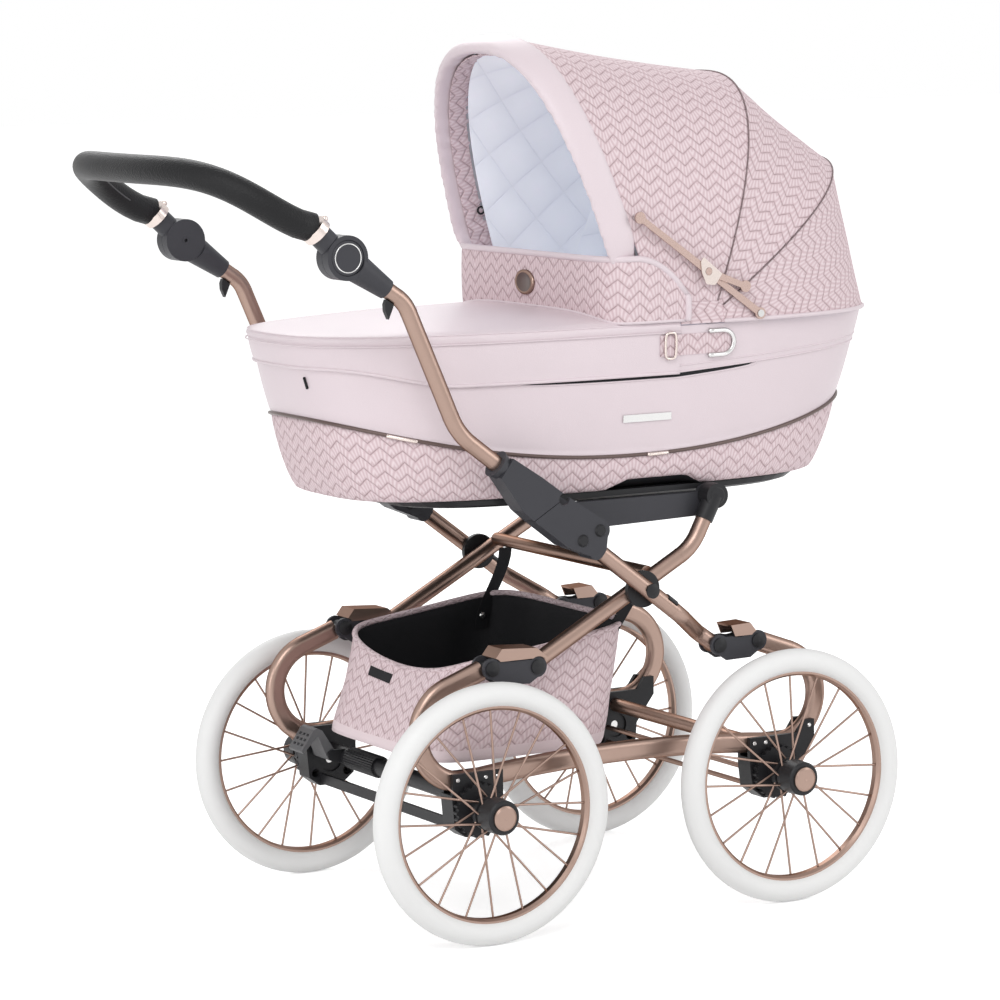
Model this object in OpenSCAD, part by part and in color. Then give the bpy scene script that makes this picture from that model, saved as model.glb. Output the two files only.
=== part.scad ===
// Bassinet pram on a folding cross frame with sprung rails and spoked wheels.
// X points to the hood end, Y across, Z up; the ground is Z = 0.

/* [Wheels] */
// Outer radius of the tyre
wheel_r = 175; // [150:1:200]
// Width of the tyre
tyre_d = 33; // [26:1:36]
// Distance between the front and rear axles
wheel_base = 470; // [450:1:490]
// Distance between the left and right wheel planes
track = 530; // [520:1:560]
// Outer radius of the rim
rim_r = 147.5; // [124:0.5:170]
// Width of the rim
rim_w = 17; // [14:0.5:20]
// Number of spokes in a wheel
spoke_n = 20; // [12:2:28]
// Thickness of a spoke
spoke_d = 3; // [2:0.5:4]
// Diameter of the hub shell
hub_d = 46; // [40:1:52]
// Diameter of the stub axle
axle_d = 12; // [8:1:14]

/* [Spring rails] */
// Distance of the rails from the middle of the pram
rail_y = 209; // [205:1:211]
// Height of the oval rail tube
rail_h = 28; // [22:1:32]
// Thickness of the oval rail tube
rail_w = 18; // [14:1:20]
// Bend radius of the C at each rail end
c_r = 65; // [55:1:75]
// Distance of the C centre from the middle of the wheelbase
c_x = 248; // [235:1:260]
// Height of the C centre
c_z = 276; // [266:1:290]
// Slope of the arched rail where it runs into the C
rail_arch = 6.5; // [3:0.5:8]
// Upward slope of the upper end of the C
c_tip = 20; // [10:1:28]

/* [Frame] */
// Diameter of the frame tubes
tube_d = 22; // [18:1:23]
// Distance of the push arms from the middle of the pram
arm_y = 238.5; // [237:0.5:242]
// Position of the cross pivot along X
pivot_x = 25; // [10:1:40]
// Height of the cross pivot
pivot_z = 446; // [435:1:455]
// Position of the leg foot pivot along X
leg_foot_x = -140; // [-150:1:-130]
// Height of the leg foot pivot
leg_foot_z = 356; // [350:1:362]
// Position of the knuckle on top of the leg along X
leg_top_x = 149; // [140:1:160]
// Height of the knuckle on top of the leg
leg_top_z = 562; // [555:1:570]
// Position of the arm foot along X
arm_foot_x = 147; // [140:1:152]
// Height of the arm foot
arm_foot_z = 358; // [350:1:364]
// Downward slope of the push arm
arm_slope = 37.5; // [36:0.5:39]
// Diameter of the pivot bolts
bolt_d = 10; // [8:1:11]
// Radial clearance of pins and sliding sleeves
run = 0.05; // [0.02:0.01:0.1]

/* [Handle] */
// Position of the handle hinge along the push arm, from the cross pivot
hinge_s = 121; // [116:1:126]
// Offset of the handle hinge above the arm axis
hinge_n = 19.4; // [17:0.1:22]
// Width of the lock housing and sleeve
lock_w = 34; // [32:1:35]
// Position of the round handle joint along X
joint_x = -427; // [-440:1:-415]
// Height of the round handle joint
joint_z = 912; // [895:1:930]
// Diameter of the round handle joint
joint_d = 58; // [54:1:66]
// Reach of the hand grip behind its collars
grip_reach = 154; // [140:1:180]
// Rise of the hand grip above its collars
grip_rise = 73; // [40:1:90]
// Thickness of the padded hand grip
grip_d = 38; // [34:1:42]

/* [Cot] */
// Middle of the cot along X
cot_x = 36; // [25:1:45]
// Half length of the cot at its rim
cot_a = 450; // [420:1:470]
// Half width of the cot at its rim
cot_b = 208; // [195:1:209]
// Half length of the cot at its floor
cot_a0 = 367; // [340:1:390]
// Half width of the cot at its floor
cot_b0 = 190; // [175:1:192]
// Height of the cot floor
cot_z0 = 577; // [574:1:585]
// Height of the cot rim
cot_z1 = 796; // [780:1:815]
// Thickness of the cot wall
cot_wall = 6; // [4:0.5:9]
// Depth of the apron skirt below the rim
skirt_h = 66; // [50:1:80]
// Position of the front edge of the apron along X
apron_x = 97; // [85:1:105]
// Height of the wind flap above the rim
flap_h = 88; // [60:1:100]

/* [Hood] */
// Position of the hood pivot along X
hood_x = 150; // [140:1:165]
// Height of the hood pivot above the cot rim
hood_up = 14; // [13:1:18]
// Half width of the hood
hood_b = 212; // [210.5:0.5:213]
// Distance of the front arch ahead of the pivot
front_off = 92; // [80:1:104]
// Lean of the front arch
front_ang = 107; // [100:1:112]
// Height of the front arch in its own plane
front_r = 388; // [360:1:400]
// Angle of the middle bow
mid_ang = 70; // [66:1:74]
// Height of the middle bow in its own plane
mid_r = 340; // [320:1:355]
// Angle of the rear bow
rear_ang = 35; // [31:1:38]
// Height of the rear bow in its own plane
rear_r = 346; // [330:1:360]
// Thickness of the hood cloth
cloth = 3; // [2:0.5:4]

/* [Basket] */
// Rear end of the basket floor along X
basket_x0 = -268; // [-275:1:-255]
// Front end of the basket rim along X
basket_x1 = 40; // [30:1:55]
// Half width of the basket
basket_b = 186; // [165:1:190]
// Height of the basket floor
basket_z0 = 232; // [228:1:245]
// Height where the stiff tub ends and the soft rim starts
basket_z1 = 318; // [305:1:330]
// Height of the basket rim at the front
basket_top = 398; // [380:1:405]

/* [Hidden] */
$fn = 48;

bronze = "#a57864";
dark = "#46464c";
black = "#1c1c1e";
pink = "#d8c0c3";
rose = "#e0cdd0";

// The model is centred on its own box: hand grip at one end, cot at the other
neck_dir = [-35, 33]/norm([-35, 33]);
neck_len = 46;
collar_len = 12;
x_min = joint_x + neck_dir[0]*(neck_len + collar_len + 0.2) - grip_reach - grip_d/2;
x_max = cot_x + cot_a + 1.5;
x_off = -(x_min + x_max)/2;

function unit(v) = v/norm(v);
function polar(r, a) = [r*cos(a), r*sin(a)];
function lerp(a, b, t) = a + (b - a)*t;
function sgn_pow(v, e) = sign(v)*pow(abs(v), e);
// Point of a superellipse at angle t
function oval_pt(x0, a, b, n, t) = [x0 + a*sgn_pow(cos(t), 2/n), b*sgn_pow(sin(t), 2/n)];

module both() {
  children();
  mirror([0, 1, 0]) children();
}
module ends() {
  children();
  mirror([1, 0, 0]) children();
}
// Draws a flat XZ shape centred on the plane y with thickness h
module slab(y, h) {
  translate([0, y, 0]) rotate([90, 0, 0]) linear_extrude(h, center = true) children();
}
// Cylinder along Y centred on the plane y
module pin_y(x, z, y, h, d) {
  translate([x, y, z]) rotate([90, 0, 0]) cylinder(h = h, d = d, center = true);
}
// Maps the local axes onto three perpendicular unit vectors at a point
module axes(o, ex, ey, ez) {
  multmatrix([[ex[0], ey[0], ez[0], o[0]], [ex[1], ey[1], ez[1], o[1]],
              [ex[2], ey[2], ez[2], o[2]], [0, 0, 0, 1]]) children();
}
function side(w) = unit(cross(w, abs(w[1]) < 0.9 ? [0, 1, 0] : [1, 0, 0]));
// Straight round bar from p to q
module rod(p, q, d) {
  w = unit(q - p);
  u = side(w);
  axes(p, u, cross(w, u), w) cylinder(h = norm(q - p), d = d);
}
// Round tube along straight runs joined by bends of the given radii
function turn(p, c, n) = acos(min(1, unit(c - p)*unit(n - c)));
function cut(pts, rb, i) = (i == 0 || i == len(pts) - 1) ? 0
  : rb[i - 1]*tan(turn(pts[i - 1], pts[i], pts[i + 1])/2);
module bent(pts, rb, d) {
  m = len(pts) - 1;
  for (i = [0:m - 1]) {
    w = unit(pts[i + 1] - pts[i]);
    a = pts[i] + w*(cut(pts, rb, i) + (i > 0 ? 0.5 : 0));
    b = pts[i + 1] - w*(cut(pts, rb, i + 1) + (i < m - 1 ? 0.5 : 0));
    rod(a, b, d);
    if (i > 0) rod(a - w*2, a + w*2, d + 0.3);
    if (i < m - 1) rod(b - w*2, b + w*2, d + 0.3);
  }
  for (i = [1:1:m - 1]) {
    u = unit(pts[i] - pts[i - 1]);
    v = unit(pts[i + 1] - pts[i]);
    a = pts[i] - u*cut(pts, rb, i);
    inward = unit(v - u*(u*v));
    axes(a + inward*rb[i - 1], -inward, u, cross(-inward, u))
      rotate_extrude(angle = turn(pts[i - 1], pts[i], pts[i + 1])) translate([rb[i - 1], 0]) circle(d = d);
  }
}
// Closed solid through rings of equal length, with flat ends
module loft(rings) {
  n = len(rings[0]);
  m = len(rings);
  polyhedron([for (r = rings) each r],
    concat([[for (j = [0:n - 1]) j]], [[for (j = [n - 1:-1:0]) (m - 1)*n + j]],
      [for (i = [0:m - 2]) for (j = [0:n - 1]) each
        [[i*n + j, (i + 1)*n + (j + 1)%n, i*n + (j + 1)%n],
         [i*n + j, (i + 1)*n + j, (i + 1)*n + (j + 1)%n]]]), convexity = 8);
}
// Closed skin between an outer and an inner grid of points
module skin(outer, inner) {
  m = len(outer);
  n = len(outer[0]);
  k = m*n;
  edge = concat([for (j = [0:n - 1]) j], [for (i = [1:m - 1]) i*n + n - 1],
    [for (j = [n - 2:-1:0]) (m - 1)*n + j], [for (i = [m - 2:-1:1]) i*n]);
  e = len(edge);
  polyhedron(concat([for (r = outer) each r], [for (r = inner) each r]),
    concat(
      [for (i = [0:m - 2]) for (j = [0:n - 2]) each
        [[i*n + j, (i + 1)*n + j + 1, i*n + j + 1], [i*n + j, (i + 1)*n + j, (i + 1)*n + j + 1]]],
      [for (i = [0:m - 2]) for (j = [0:n - 2]) each
        [[k + i*n + j, k + i*n + j + 1, k + (i + 1)*n + j + 1],
         [k + i*n + j, k + (i + 1)*n + j + 1, k + (i + 1)*n + j]]],
      [for (j = [0:e - 1]) each
        [[edge[j], k + edge[(j + 1)%e], k + edge[j]], [edge[j], edge[(j + 1)%e], k + edge[(j + 1)%e]]]]),
    convexity = 8);
}

// Rails: arched middle and a C at each end
axle_z = wheel_r;
rail_rm = c_x/sin(rail_arch) - c_r;
rail_zm = c_z - c_r*cos(rail_arch) + rail_rm*(1 - cos(rail_arch));
c_len = 55;
plug_len = 10;
c_end = [c_x + c_r*sin(c_tip), c_z + c_r*cos(c_tip)];
tip_dir = [-cos(c_tip), sin(c_tip)];
c_bolt = c_end + tip_dir*(c_len + plug_len);
module oval(e = 0) {
  square([rail_h - rail_w, rail_w + 2*e], center = true);
  for (s = [-1, 1]) translate([s*(rail_h - rail_w)/2, 0]) circle(d = rail_w + 2*e);
}
// Arched middle, widened by e and lengthened by g degrees at each end
module rail_mid(e, g) {
  translate([0, 0, rail_zm - rail_rm]) rotate([90, 0, 0]) rotate(90 - rail_arch - g)
    rotate_extrude(angle = 2*(rail_arch + g), $fn = 96) translate([rail_rm, 0]) oval(e);
}
module rail_c(e, g) {
  translate([c_x, 0, c_z]) rotate([90, 0, 0]) rotate(-90 - rail_arch - g)
    rotate_extrude(angle = 180 + rail_arch - c_tip + g) translate([c_r, 0]) oval(e);
}
module spring_rails() {
  color(bronze) both() translate([0, rail_y, 0]) {
    rail_mid(0, -0.02);
    ends() {
      rail_c(0, 0);
      translate([c_end[0], 0, c_end[1]]) rotate([0, -90 + c_tip, 0]) {
        translate([0, 0, 0.5]) linear_extrude(c_len - 0.5) oval();
        translate([0, 0, -2]) linear_extrude(4) oval(0.15);
      }
      translate([c_x, 0, c_z]) rotate([0, 90 + rail_arch, 0]) translate([c_r, 0, -2])
        linear_extrude(4) oval(0.15);
    }
  }
}

// Bracket plates stand on both sides of the rail ends
plate_t = 4;
plate_gap = tube_d/2 + 1.2;
plate_y = plate_gap + plate_t/2;
lobe = 14;
leg_foot = [leg_foot_x, leg_foot_z];
arm_foot = [arm_foot_x, arm_foot_z];
rear_bolt = [-c_bolt[0], c_bolt[1]];
front_bolt = c_bolt;
// Side plate outline from the rail bolt to the tube bolt
module plate(a, b) {
  difference() {
    union() {
      translate(a) circle(lobe);
      translate(b) circle(lobe);
      polygon([a + [0, lobe - 4], b + [0, lobe - 4], b + [0, -lobe],
        lerp(a, b, 0.82) + [0, -lobe - 8], lerp(a, b, 0.2) + [0, -lobe - 8], a + [0, -lobe]]);
    }
    translate(lerp(a, b, 0.5) + [0, norm(b - a)*0.6]) circle(norm(b - a)*0.47);
    for (p = [a, b]) translate(p) circle(d = bolt_d + 2*run);
  }
}
module rear_brackets() {
  color(dark) both() for (s = [-1, 1]) slab(rail_y + s*plate_y, plate_t) plate(rear_bolt, leg_foot);
}
module front_links() {
  color(dark) both() for (s = [-1, 1]) slab(rail_y + s*plate_y, plate_t) plate(front_bolt, arm_foot);
}
// Bolt with a domed head on each outer plate face
head_h = 4;
head_d = 20;
module dome_head(x, z, y, s) {
  translate([x, y, z]) rotate([-s*90, 0, 0]) rotate_extrude() difference() {
    intersection() {
      translate([0, head_h - 26]) circle(26, $fn = 96);
      square([head_d/2, head_h]);
    }
    translate([-head_d, -1]) square([head_d, head_h + 2]);
  }
}
module through_bolt(p) {
  pin_y(p[0], p[1], rail_y, 2*(plate_gap + plate_t) + 0.02, bolt_d);
  for (s = [-1, 1]) dome_head(p[0], p[1], rail_y + s*(plate_gap + plate_t + 0.01), s);
}
module end_plug() {
  difference() {
    union() {
      translate([c_end[0], 0, c_end[1]]) rotate([0, -90 + c_tip, 0]) translate([-7, -8, c_len])
        cube([14, 16, plug_len]);
      pin_y(c_bolt[0], c_bolt[1], 0, 18, 2*plug_len - 2);
    }
    pin_y(c_bolt[0], c_bolt[1], 0, 60, bolt_d + 2*run);
  }
}
module rail_fittings() {
  color(black) both() {
    translate([0, rail_y, 0]) ends() end_plug();
    through_bolt(rear_bolt);
    through_bolt(leg_foot);
  }
}
// Folded metal cap over a bracket, open where the tubes run in
saddle_w = 2*(plate_gap + plate_t) + 1;
saddle_t = 2;
module saddle_2d(a, b, end, d) {
  s = sign(b[0] - a[0]);
  polygon([a + [-s*2, 6 - d], a + [s*14, 26 - d], b + [s*end[0], 26 - d], b + [s*end[1], 9 - d]]);
}
module saddle(a, b, end, tube_to) {
  difference() {
    slab(0, saddle_w + 2*saddle_t) saddle_2d(a, b, end, 0);
    slab(0, saddle_w) saddle_2d(a, b, end, 3);
    slab(0, saddle_w) translate([min(a[0], b[0]) - 30, a[1] - 30]) square([abs(b[0] - a[0]) + 60, 40]);
    slab(0, 80) translate([min(a[0], b[0]), a[1] - 30]) square([abs(b[0] - a[0]), 30 + lobe - 5]);
    for (p = [a, b]) pin_y(p[0], p[1], 0, 80, 2*lobe + 1);
    rod([b[0], 0, b[1]], [tube_to[0], 0, tube_to[1]], tube_d + 2);
  }
}
module rear_saddles() {
  color(bronze) both() translate([0, rail_y, 0]) saddle(rear_bolt, leg_foot, [-2, 18], [pivot_x, pivot_z]);
}
module front_saddles() {
  color(bronze) both() translate([0, rail_y, 0]) saddle(front_bolt, arm_foot, [-17, -24], [pivot_x, pivot_z]);
}

// Wheel carriers hang from the rails and hold the stub axles
axle_x = wheel_base/2;
wheel_y = track/2;
carrier_y0 = rail_y - rail_w/2 - 6;
carrier_y1 = rail_y + rail_w/2 + 7;
drum_y = carrier_y1 + 1;
stub_in = carrier_y0 + 4;
hub_out = wheel_y + 33;
carrier_up = c_z - c_r + rail_h/2 - axle_z - 1;
tab_x = 58;
tab_up = carrier_up + 17;
rail_low = c_z - c_r - rail_h/2 - 0.5 - axle_z;
module carrier_part(y0, y1, pts) {
  translate([axle_x, 0, axle_z]) slab((y0 + y1)/2, y1 - y0) polygon(pts);
}
module carrier(front) {
  tab = [[tab_x + 8, tab_up - 26], [tab_x + 8, tab_up], [tab_x - 8, tab_up], [tab_x - 20, carrier_up]];
  cheek = concat([[-40, 10], [36, 0]], front ? tab : [[36, carrier_up]], [[-40, carrier_up]]);
  difference() {
    union() {
      carrier_part(carrier_y0, carrier_y1, [[-40, 10], [-36, -22], [-18, -36], [18, -36], [34, -24],
        [38, rail_low], [-40, rail_low]]);
      carrier_part(carrier_y0, rail_y - rail_w/2 - 0.5, cheek);
      carrier_part(rail_y + rail_w/2 + 0.5, carrier_y1, cheek);
    }
    for (p = [[-26, -18, 14], [24, -18, 12]]) pin_y(axle_x + p[0], axle_z + p[1], rail_y, 100, p[2]);
    pin_y(axle_x, axle_z, 0, 700, axle_d + 0.04);
    pin_y(axle_x, axle_z, carrier_y0, 6, 36);
  }
}
module carrier_rivets(front) {
  y = carrier_y1;
  for (p = [[-32, carrier_up - 8], [-14, carrier_up - 8], front ? [tab_x, tab_up - 8] : [28, carrier_up - 8]])
    translate([axle_x + p[0], y + 0.01, axle_z + p[1]]) rotate([-90, 0, 0]) cylinder(h = 1, d1 = 6, d2 = 4);
}
module wheel_carriers() {
  color(black) both() {
    carrier(true);
    mirror([1, 0, 0]) carrier(false);
  }
}
module axle_stubs() {
  color("silver") both() {
    ends() pin_y(axle_x, axle_z, (stub_in + hub_out - 8)/2, hub_out - 8 - stub_in, axle_d);
    carrier_rivets(true);
    mirror([1, 0, 0]) carrier_rivets(false);
  }
}
module front_axle() {
  y = carrier_y0 - 0.1;
  color(bronze) rod([axle_x, -y, axle_z + 30], [axle_x, y, axle_z + 30], 20);
  color(black) for (z = [-2, -24]) rod([axle_x - 14, -y, axle_z + z], [axle_x - 14, y, axle_z + z], 7);
}
brake_y = carrier_y0 - 30;
brake_pin = [-axle_x - 24, axle_z + 16];
pedal_w = 40;
spline_n = 28;
spline_d = 31;
module rear_axle() {
  y = carrier_y0 - 0.1;
  color(black) {
    rod([-axle_x, -y, axle_z + 12], [-axle_x, y, axle_z + 12], 24);
    translate([-axle_x, 0, axle_z + 12]) slab(86, 82) polygon([for (i = [0:2*spline_n - 1])
      polar(spline_d/2 - 1.2*(i%2), i*180/spline_n)]);
    translate([-axle_x - 14, 0, axle_z - 26]) cube([5, 2*y, 14], center = true);
    for (s = [-1, 1]) slab(brake_y + s*(pedal_w/2 + 2.3), 4) {
      translate(brake_pin) circle(8);
      polygon([brake_pin + [0, 8], [-axle_x, axle_z + 23], [-axle_x, axle_z + 2], brake_pin + [0, -8]]);
    }
    pin_y(brake_pin[0], brake_pin[1], brake_y, pedal_w + 6, 8 - 2*run);
  }
}

// Wheels: local X is radial, Y runs outward along the axle
hub_in = drum_y - wheel_y;
module at_wheel(sx, sy) {
  translate([sx*axle_x, sy*wheel_y, axle_z]) rotate([-sy*90, 0, 0]) children();
}
// The tyre fills the space from the bed of the rim to the tread
tyre_seat = 5.5;
tyre_h = wheel_r - rim_r + tyre_seat;
module tyre(sx, sy) {
  color("whitesmoke") at_wheel(sx, sy) rotate_extrude($fn = 96) difference() {
    translate([wheel_r - tyre_h/2, 0]) scale([tyre_h/tyre_d, 1]) circle(d = tyre_d);
    translate([0, -rim_w/2 - 0.1]) square([rim_r + 0.1, rim_w + 0.2]);
    square([2*(rim_r - 4), 4*tyre_d], center = true);
  }
}
rim_in = rim_r - 9;
module rim(sx, sy) {
  color(bronze) at_wheel(sx, sy) {
    rotate_extrude($fn = 96) polygon([[rim_in, -rim_w/2 + 4], [rim_in + 3, -rim_w/2], [rim_r, -rim_w/2],
      [rim_r, -rim_w/2 + 2], [rim_in + 3, -rim_w/2 + 4], [rim_in + 3, rim_w/2 - 4], [rim_r, rim_w/2 - 2],
      [rim_r, rim_w/2], [rim_in + 3, rim_w/2], [rim_in, rim_w/2 - 4]]);
    for (i = [0:spoke_n - 1]) {
      s = i%2 == 0 ? 1 : -1;
      b = i*360/spoke_n;
      h = polar(hub_d/2 - 5.2, b + s*38);
      r = polar(rim_in + 1, b);
      rod([h[0], h[1], s > 0 ? 4 : -9], [r[0], r[1], s*1.5], spoke_d);
    }
    translate([0, 0, 33.1]) rotate_extrude() polygon([[0, 0], [hub_d/2 - 6.5, 0], [hub_d/2 - 6.5, 2.4],
      [hub_d/2 - 9, 4], [0, 4.6]]);
  }
}
// Hub with a toothed brake drum on its inner side
drum_r = 37;
module hub(sx, sy) {
  color(black) at_wheel(sx, sy) difference() {
    union() {
      rotate_extrude() polygon([[0, hub_in + 9], [17, hub_in + 9], [17, -13], [hub_d/2, -13], [hub_d/2, -5],
        [15, -3], [15, 0], [hub_d/2, 1], [hub_d/2 + 0.6, 8], [hub_d/2, 31], [hub_d/2 - 2, 33], [0, 33]]);
      translate([0, 0, hub_in]) linear_extrude(9.5) polygon([for (i = [0:95])
        polar(i%4 < 2 ? drum_r : drum_r - 3, i*3.75)]);
    }
    translate([0, 0, hub_in - 1]) cylinder(h = 33 - hub_in - 6, d = axle_d + 2*run);
    for (i = [0:spoke_n - 1]) {
      s = i%2 == 0 ? 1 : -1;
      b = i*360/spoke_n;
      h = polar(hub_d/2 - 5.2, b + s*38);
      r = polar(rim_in + 1, b);
      rod([h[0], h[1], s > 0 ? 4 : -9], [r[0], r[1], s*1.5], spoke_d + 0.1);
    }
  }
}

// Foot brake on the left end of the rear axle
pedal_top = brake_pin + [-22, 40];
pedal_tip = brake_pin + [-47, 10];
module brake_pedal() {
  along = unit(pedal_tip - pedal_top);
  color("dimgray") difference() {
    slab(brake_y, pedal_w) {
      translate(brake_pin) circle(8);
      polygon([brake_pin + [5, 6], pedal_top + [8, -4], pedal_top, pedal_top + [-5, -2],
        pedal_tip, pedal_tip + [3, -4], pedal_top + [1, -11], brake_pin + [-7, -3]]);
    }
    for (k = [14, 22, 30]) for (j = [-1, 0, 1])
      translate(at_y(pedal_top + along*k, brake_y + j*11)) rotate([0, -atan2(along[1], along[0]), 0])
        cube([4, 7, 14], center = true);
    pin_y(brake_pin[0], brake_pin[1], brake_y, 60, 8);
  }
}

// Legs: foot in the rear bracket, bent up to the knuckle, welded to one cross tube
o2 = [pivot_x, pivot_z];
leg_dir = unit(o2 - leg_foot);
leg_up = [-leg_dir[1], leg_dir[0]];
leg_knee = o2 + leg_dir*100;
leg_top = [leg_top_x, leg_top_z];
top_dir = unit(leg_top - leg_knee);
knuckle_d = 34;
cross_d = 18;
pivot_d = 12;
function at_y(p, y) = [p[0], y, p[1]];
cross_c = o2 + leg_dir*26 + leg_up*7;
module leg_tubes() {
  color(bronze) {
    both() difference() {
      union() {
        bent([at_y(leg_foot, rail_y), at_y(leg_knee, rail_y),
          at_y(leg_top - top_dir*(knuckle_d/2 + 1), rail_y)], [70], tube_d);
        pin_y(leg_foot[0], leg_foot[1], rail_y, tube_d + 1, tube_d + 1);
      }
      pin_y(leg_foot[0], leg_foot[1], rail_y, 60, bolt_d + 2*run);
      pin_y(pivot_x, pivot_z, rail_y + 12, 40, pivot_d + 0.04);
    }
    rod(at_y(cross_c, -rail_y + 5), at_y(cross_c, rail_y - 5), cross_d);
  }
}
disc_y0 = rail_y + tube_d/2 + 0.1;
disc_y1 = arm_y - tube_d/2 - 0.35;
module pivot_discs() {
  y0 = rail_y - 7.9;
  y1 = arm_y + tube_d/2 + 0.4;
  color(black) both() {
    pin_y(pivot_x, pivot_z, (disc_y0 + disc_y1)/2, disc_y1 - disc_y0, 50);
    pin_y(pivot_x, pivot_z, (y0 + y1)/2, y1 - y0, pivot_d);
    dome_head(pivot_x, pivot_z, y1, 1);
  }
}
beam_t = 12;
beam_y1 = rail_y - knuckle_d/2 + 3;
beam_y = beam_y1 - beam_t/2;
knuckle_in = beam_y1 + 0.4;
knuckle_out = rail_y + tube_d/2 - 1;
module leg_knuckles() {
  color(black) both() {
    difference() {
      union() {
        pin_y(leg_top_x, leg_top_z, (knuckle_in + knuckle_out)/2, knuckle_out - knuckle_in, knuckle_d);
        rod(at_y(leg_top, rail_y), at_y(leg_top - top_dir*36, rail_y), tube_d + 4);
      }
      rod(at_y(leg_top - top_dir*(knuckle_d/2 + 0.9), rail_y), at_y(leg_top - top_dir*60, rail_y),
        tube_d + 0.1);
      pin_y(leg_top_x, leg_top_z, beam_y1 - 20, 40.7, knuckle_d + 20);
    }
    pin_y(leg_top_x, leg_top_z, (beam_y - beam_t/2 + knuckle_in + 2)/2,
      knuckle_in + 2 - beam_y + beam_t/2, bolt_d);
    translate([leg_top_x, knuckle_out, leg_top_z]) rotate([-90, 0, 0]) cylinder(h = 1, d1 = 24, d2 = 20);
  }
}
// Cot carrier: two beams joined by a rear cross bar
beam_x0 = -78;
module carrier_beams() {
  color(dark) difference() {
    union() {
      both() slab(beam_y, beam_t) {
        polygon([[beam_x0, leg_top_z - 26], [beam_x0 + 60, leg_top_z - 32], [leg_top_x - 8, leg_top_z - 28],
          [leg_top_x + 10, leg_top_z - 13], [leg_top_x + 10, leg_top_z + 4], [beam_x0, leg_top_z + 4]]);
        translate([leg_top_x, leg_top_z - 1]) circle(14);
      }
      rod([beam_x0 + 9, -beam_y, leg_top_z - 5], [beam_x0 + 9, beam_y, leg_top_z - 5], 18);
    }
    both() pin_y(leg_top_x, leg_top_z, beam_y, 60, bolt_d + 2*run);
  }
}

// Push arms: local X runs up the arm from the cross pivot, local Y above it
arm_u = [-cos(arm_slope), sin(arm_slope)];
arm_n = [sin(arm_slope), cos(arm_slope)];
function on_arm(s, n) = o2 + arm_u*s + arm_n*n;
module arm_frame(y) {
  axes([pivot_x, y, pivot_z], [arm_u[0], 0, arm_u[1]], [arm_n[0], 0, arm_n[1]], [0, 1, 0]) children();
}
tube_n = 7;
arm_end = hinge_s + 28;
set_bolt = [hinge_s + 14, -6];
set_d = 6;
hinge_lobe = 15;
split_top = hinge_s + 69;
split_low = hinge_s + 91;
arm_knee = on_arm(-62, 0);
module arm_tubes() {
  color(bronze) both() difference() {
    union() {
      bent([at_y(on_arm(arm_end, 0), arm_y), at_y(arm_knee, arm_y),
        at_y(arm_foot + unit(arm_knee - arm_foot)*32, rail_y), at_y(arm_foot, rail_y)], [44, 30], tube_d);
      pin_y(arm_foot[0], arm_foot[1], rail_y, tube_d, tube_d + 1);
    }
    arm_frame(arm_y) translate([hinge_s - 17, 3, -30]) cube([100, 40, 60]);
    pin_y(pivot_x, pivot_z, arm_y, 60, pivot_d + 2*run);
    arm_frame(arm_y) translate([set_bolt[0], set_bolt[1], -40]) cylinder(h = 80, d = set_d + 0.04);
  }
}
cheek_gap = tube_d + 2.4;
module hinge_housings() {
  color(dark) both() arm_frame(arm_y) difference() {
    linear_extrude(lock_w, center = true) difference() {
      union() {
        translate([hinge_s, hinge_n]) circle(hinge_lobe);
        translate([hinge_s - 13, -6]) circle(11);
        polygon([[split_top, hinge_n + 9], [split_low, -26], [hinge_s + 29, -26], [hinge_s - 8, -16],
          [hinge_s - 24, -8], [hinge_s - 24, 4], [hinge_s - 15, hinge_n], [hinge_s, hinge_n + hinge_lobe]]);
      }
      translate([split_top + 2, hinge_n + 3]) circle(8);
    }
    linear_extrude(cheek_gap, center = true) polygon([[hinge_s - 50, 8], [hinge_s - 17, 8],
      [hinge_s - 17, -13], [split_low + 20, -13], [split_low + 20, 80], [hinge_s - 50, 80]]);
    translate([40, 0, 0]) rotate([0, 90, 0]) cylinder(h = arm_end + 0.1 - 40, d = tube_d + 0.06);
    translate([hinge_s, hinge_n, -40]) cylinder(h = 80, d = bolt_d + 0.04);
    translate([set_bolt[0], set_bolt[1], -40]) cylinder(h = 80, d = set_d + 0.04);
  }
}
module arm_fittings() {
  h = lock_w + 0.02;
  color(black) both() {
    arm_frame(arm_y) {
      for (p = [[hinge_s, hinge_n, bolt_d], [set_bolt[0], set_bolt[1], set_d]])
        translate([p[0], p[1], -h/2]) cylinder(h = h, d = p[2]);
      translate([-46, 0, 0]) rotate([0, 90, 0]) difference() {
        cylinder(h = 17, d = tube_d + 3);
        translate([0, 0, -1]) cylinder(h = 20, d = tube_d + 0.1);
        translate([-tube_d, 6 - 2*tube_d, -1]) cube([2*tube_d, 2*tube_d, 20]);
      }
    }
    for (p = [on_arm(hinge_s, hinge_n), on_arm(set_bolt[0], set_bolt[1])]) for (s = [-1, 1])
      scale_head(p, arm_y + s*h/2, s);
  }
}
module scale_head(p, y, s) {
  translate(at_y(p, y)) rotate([-s*90, 0, 0]) cylinder(h = 3, d1 = 17, d2 = 13);
}
module link_bolts() {
  color(black) both() {
    through_bolt(front_bolt);
    for (s = [-1, 1]) {
      dome_head(arm_foot[0], arm_foot[1], rail_y + s*(plate_gap + plate_t + 0.01), s);
      pin_y(arm_foot[0], arm_foot[1], rail_y + s*(plate_y + 0.4), plate_t - 0.8, bolt_d);
    }
  }
}

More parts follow.
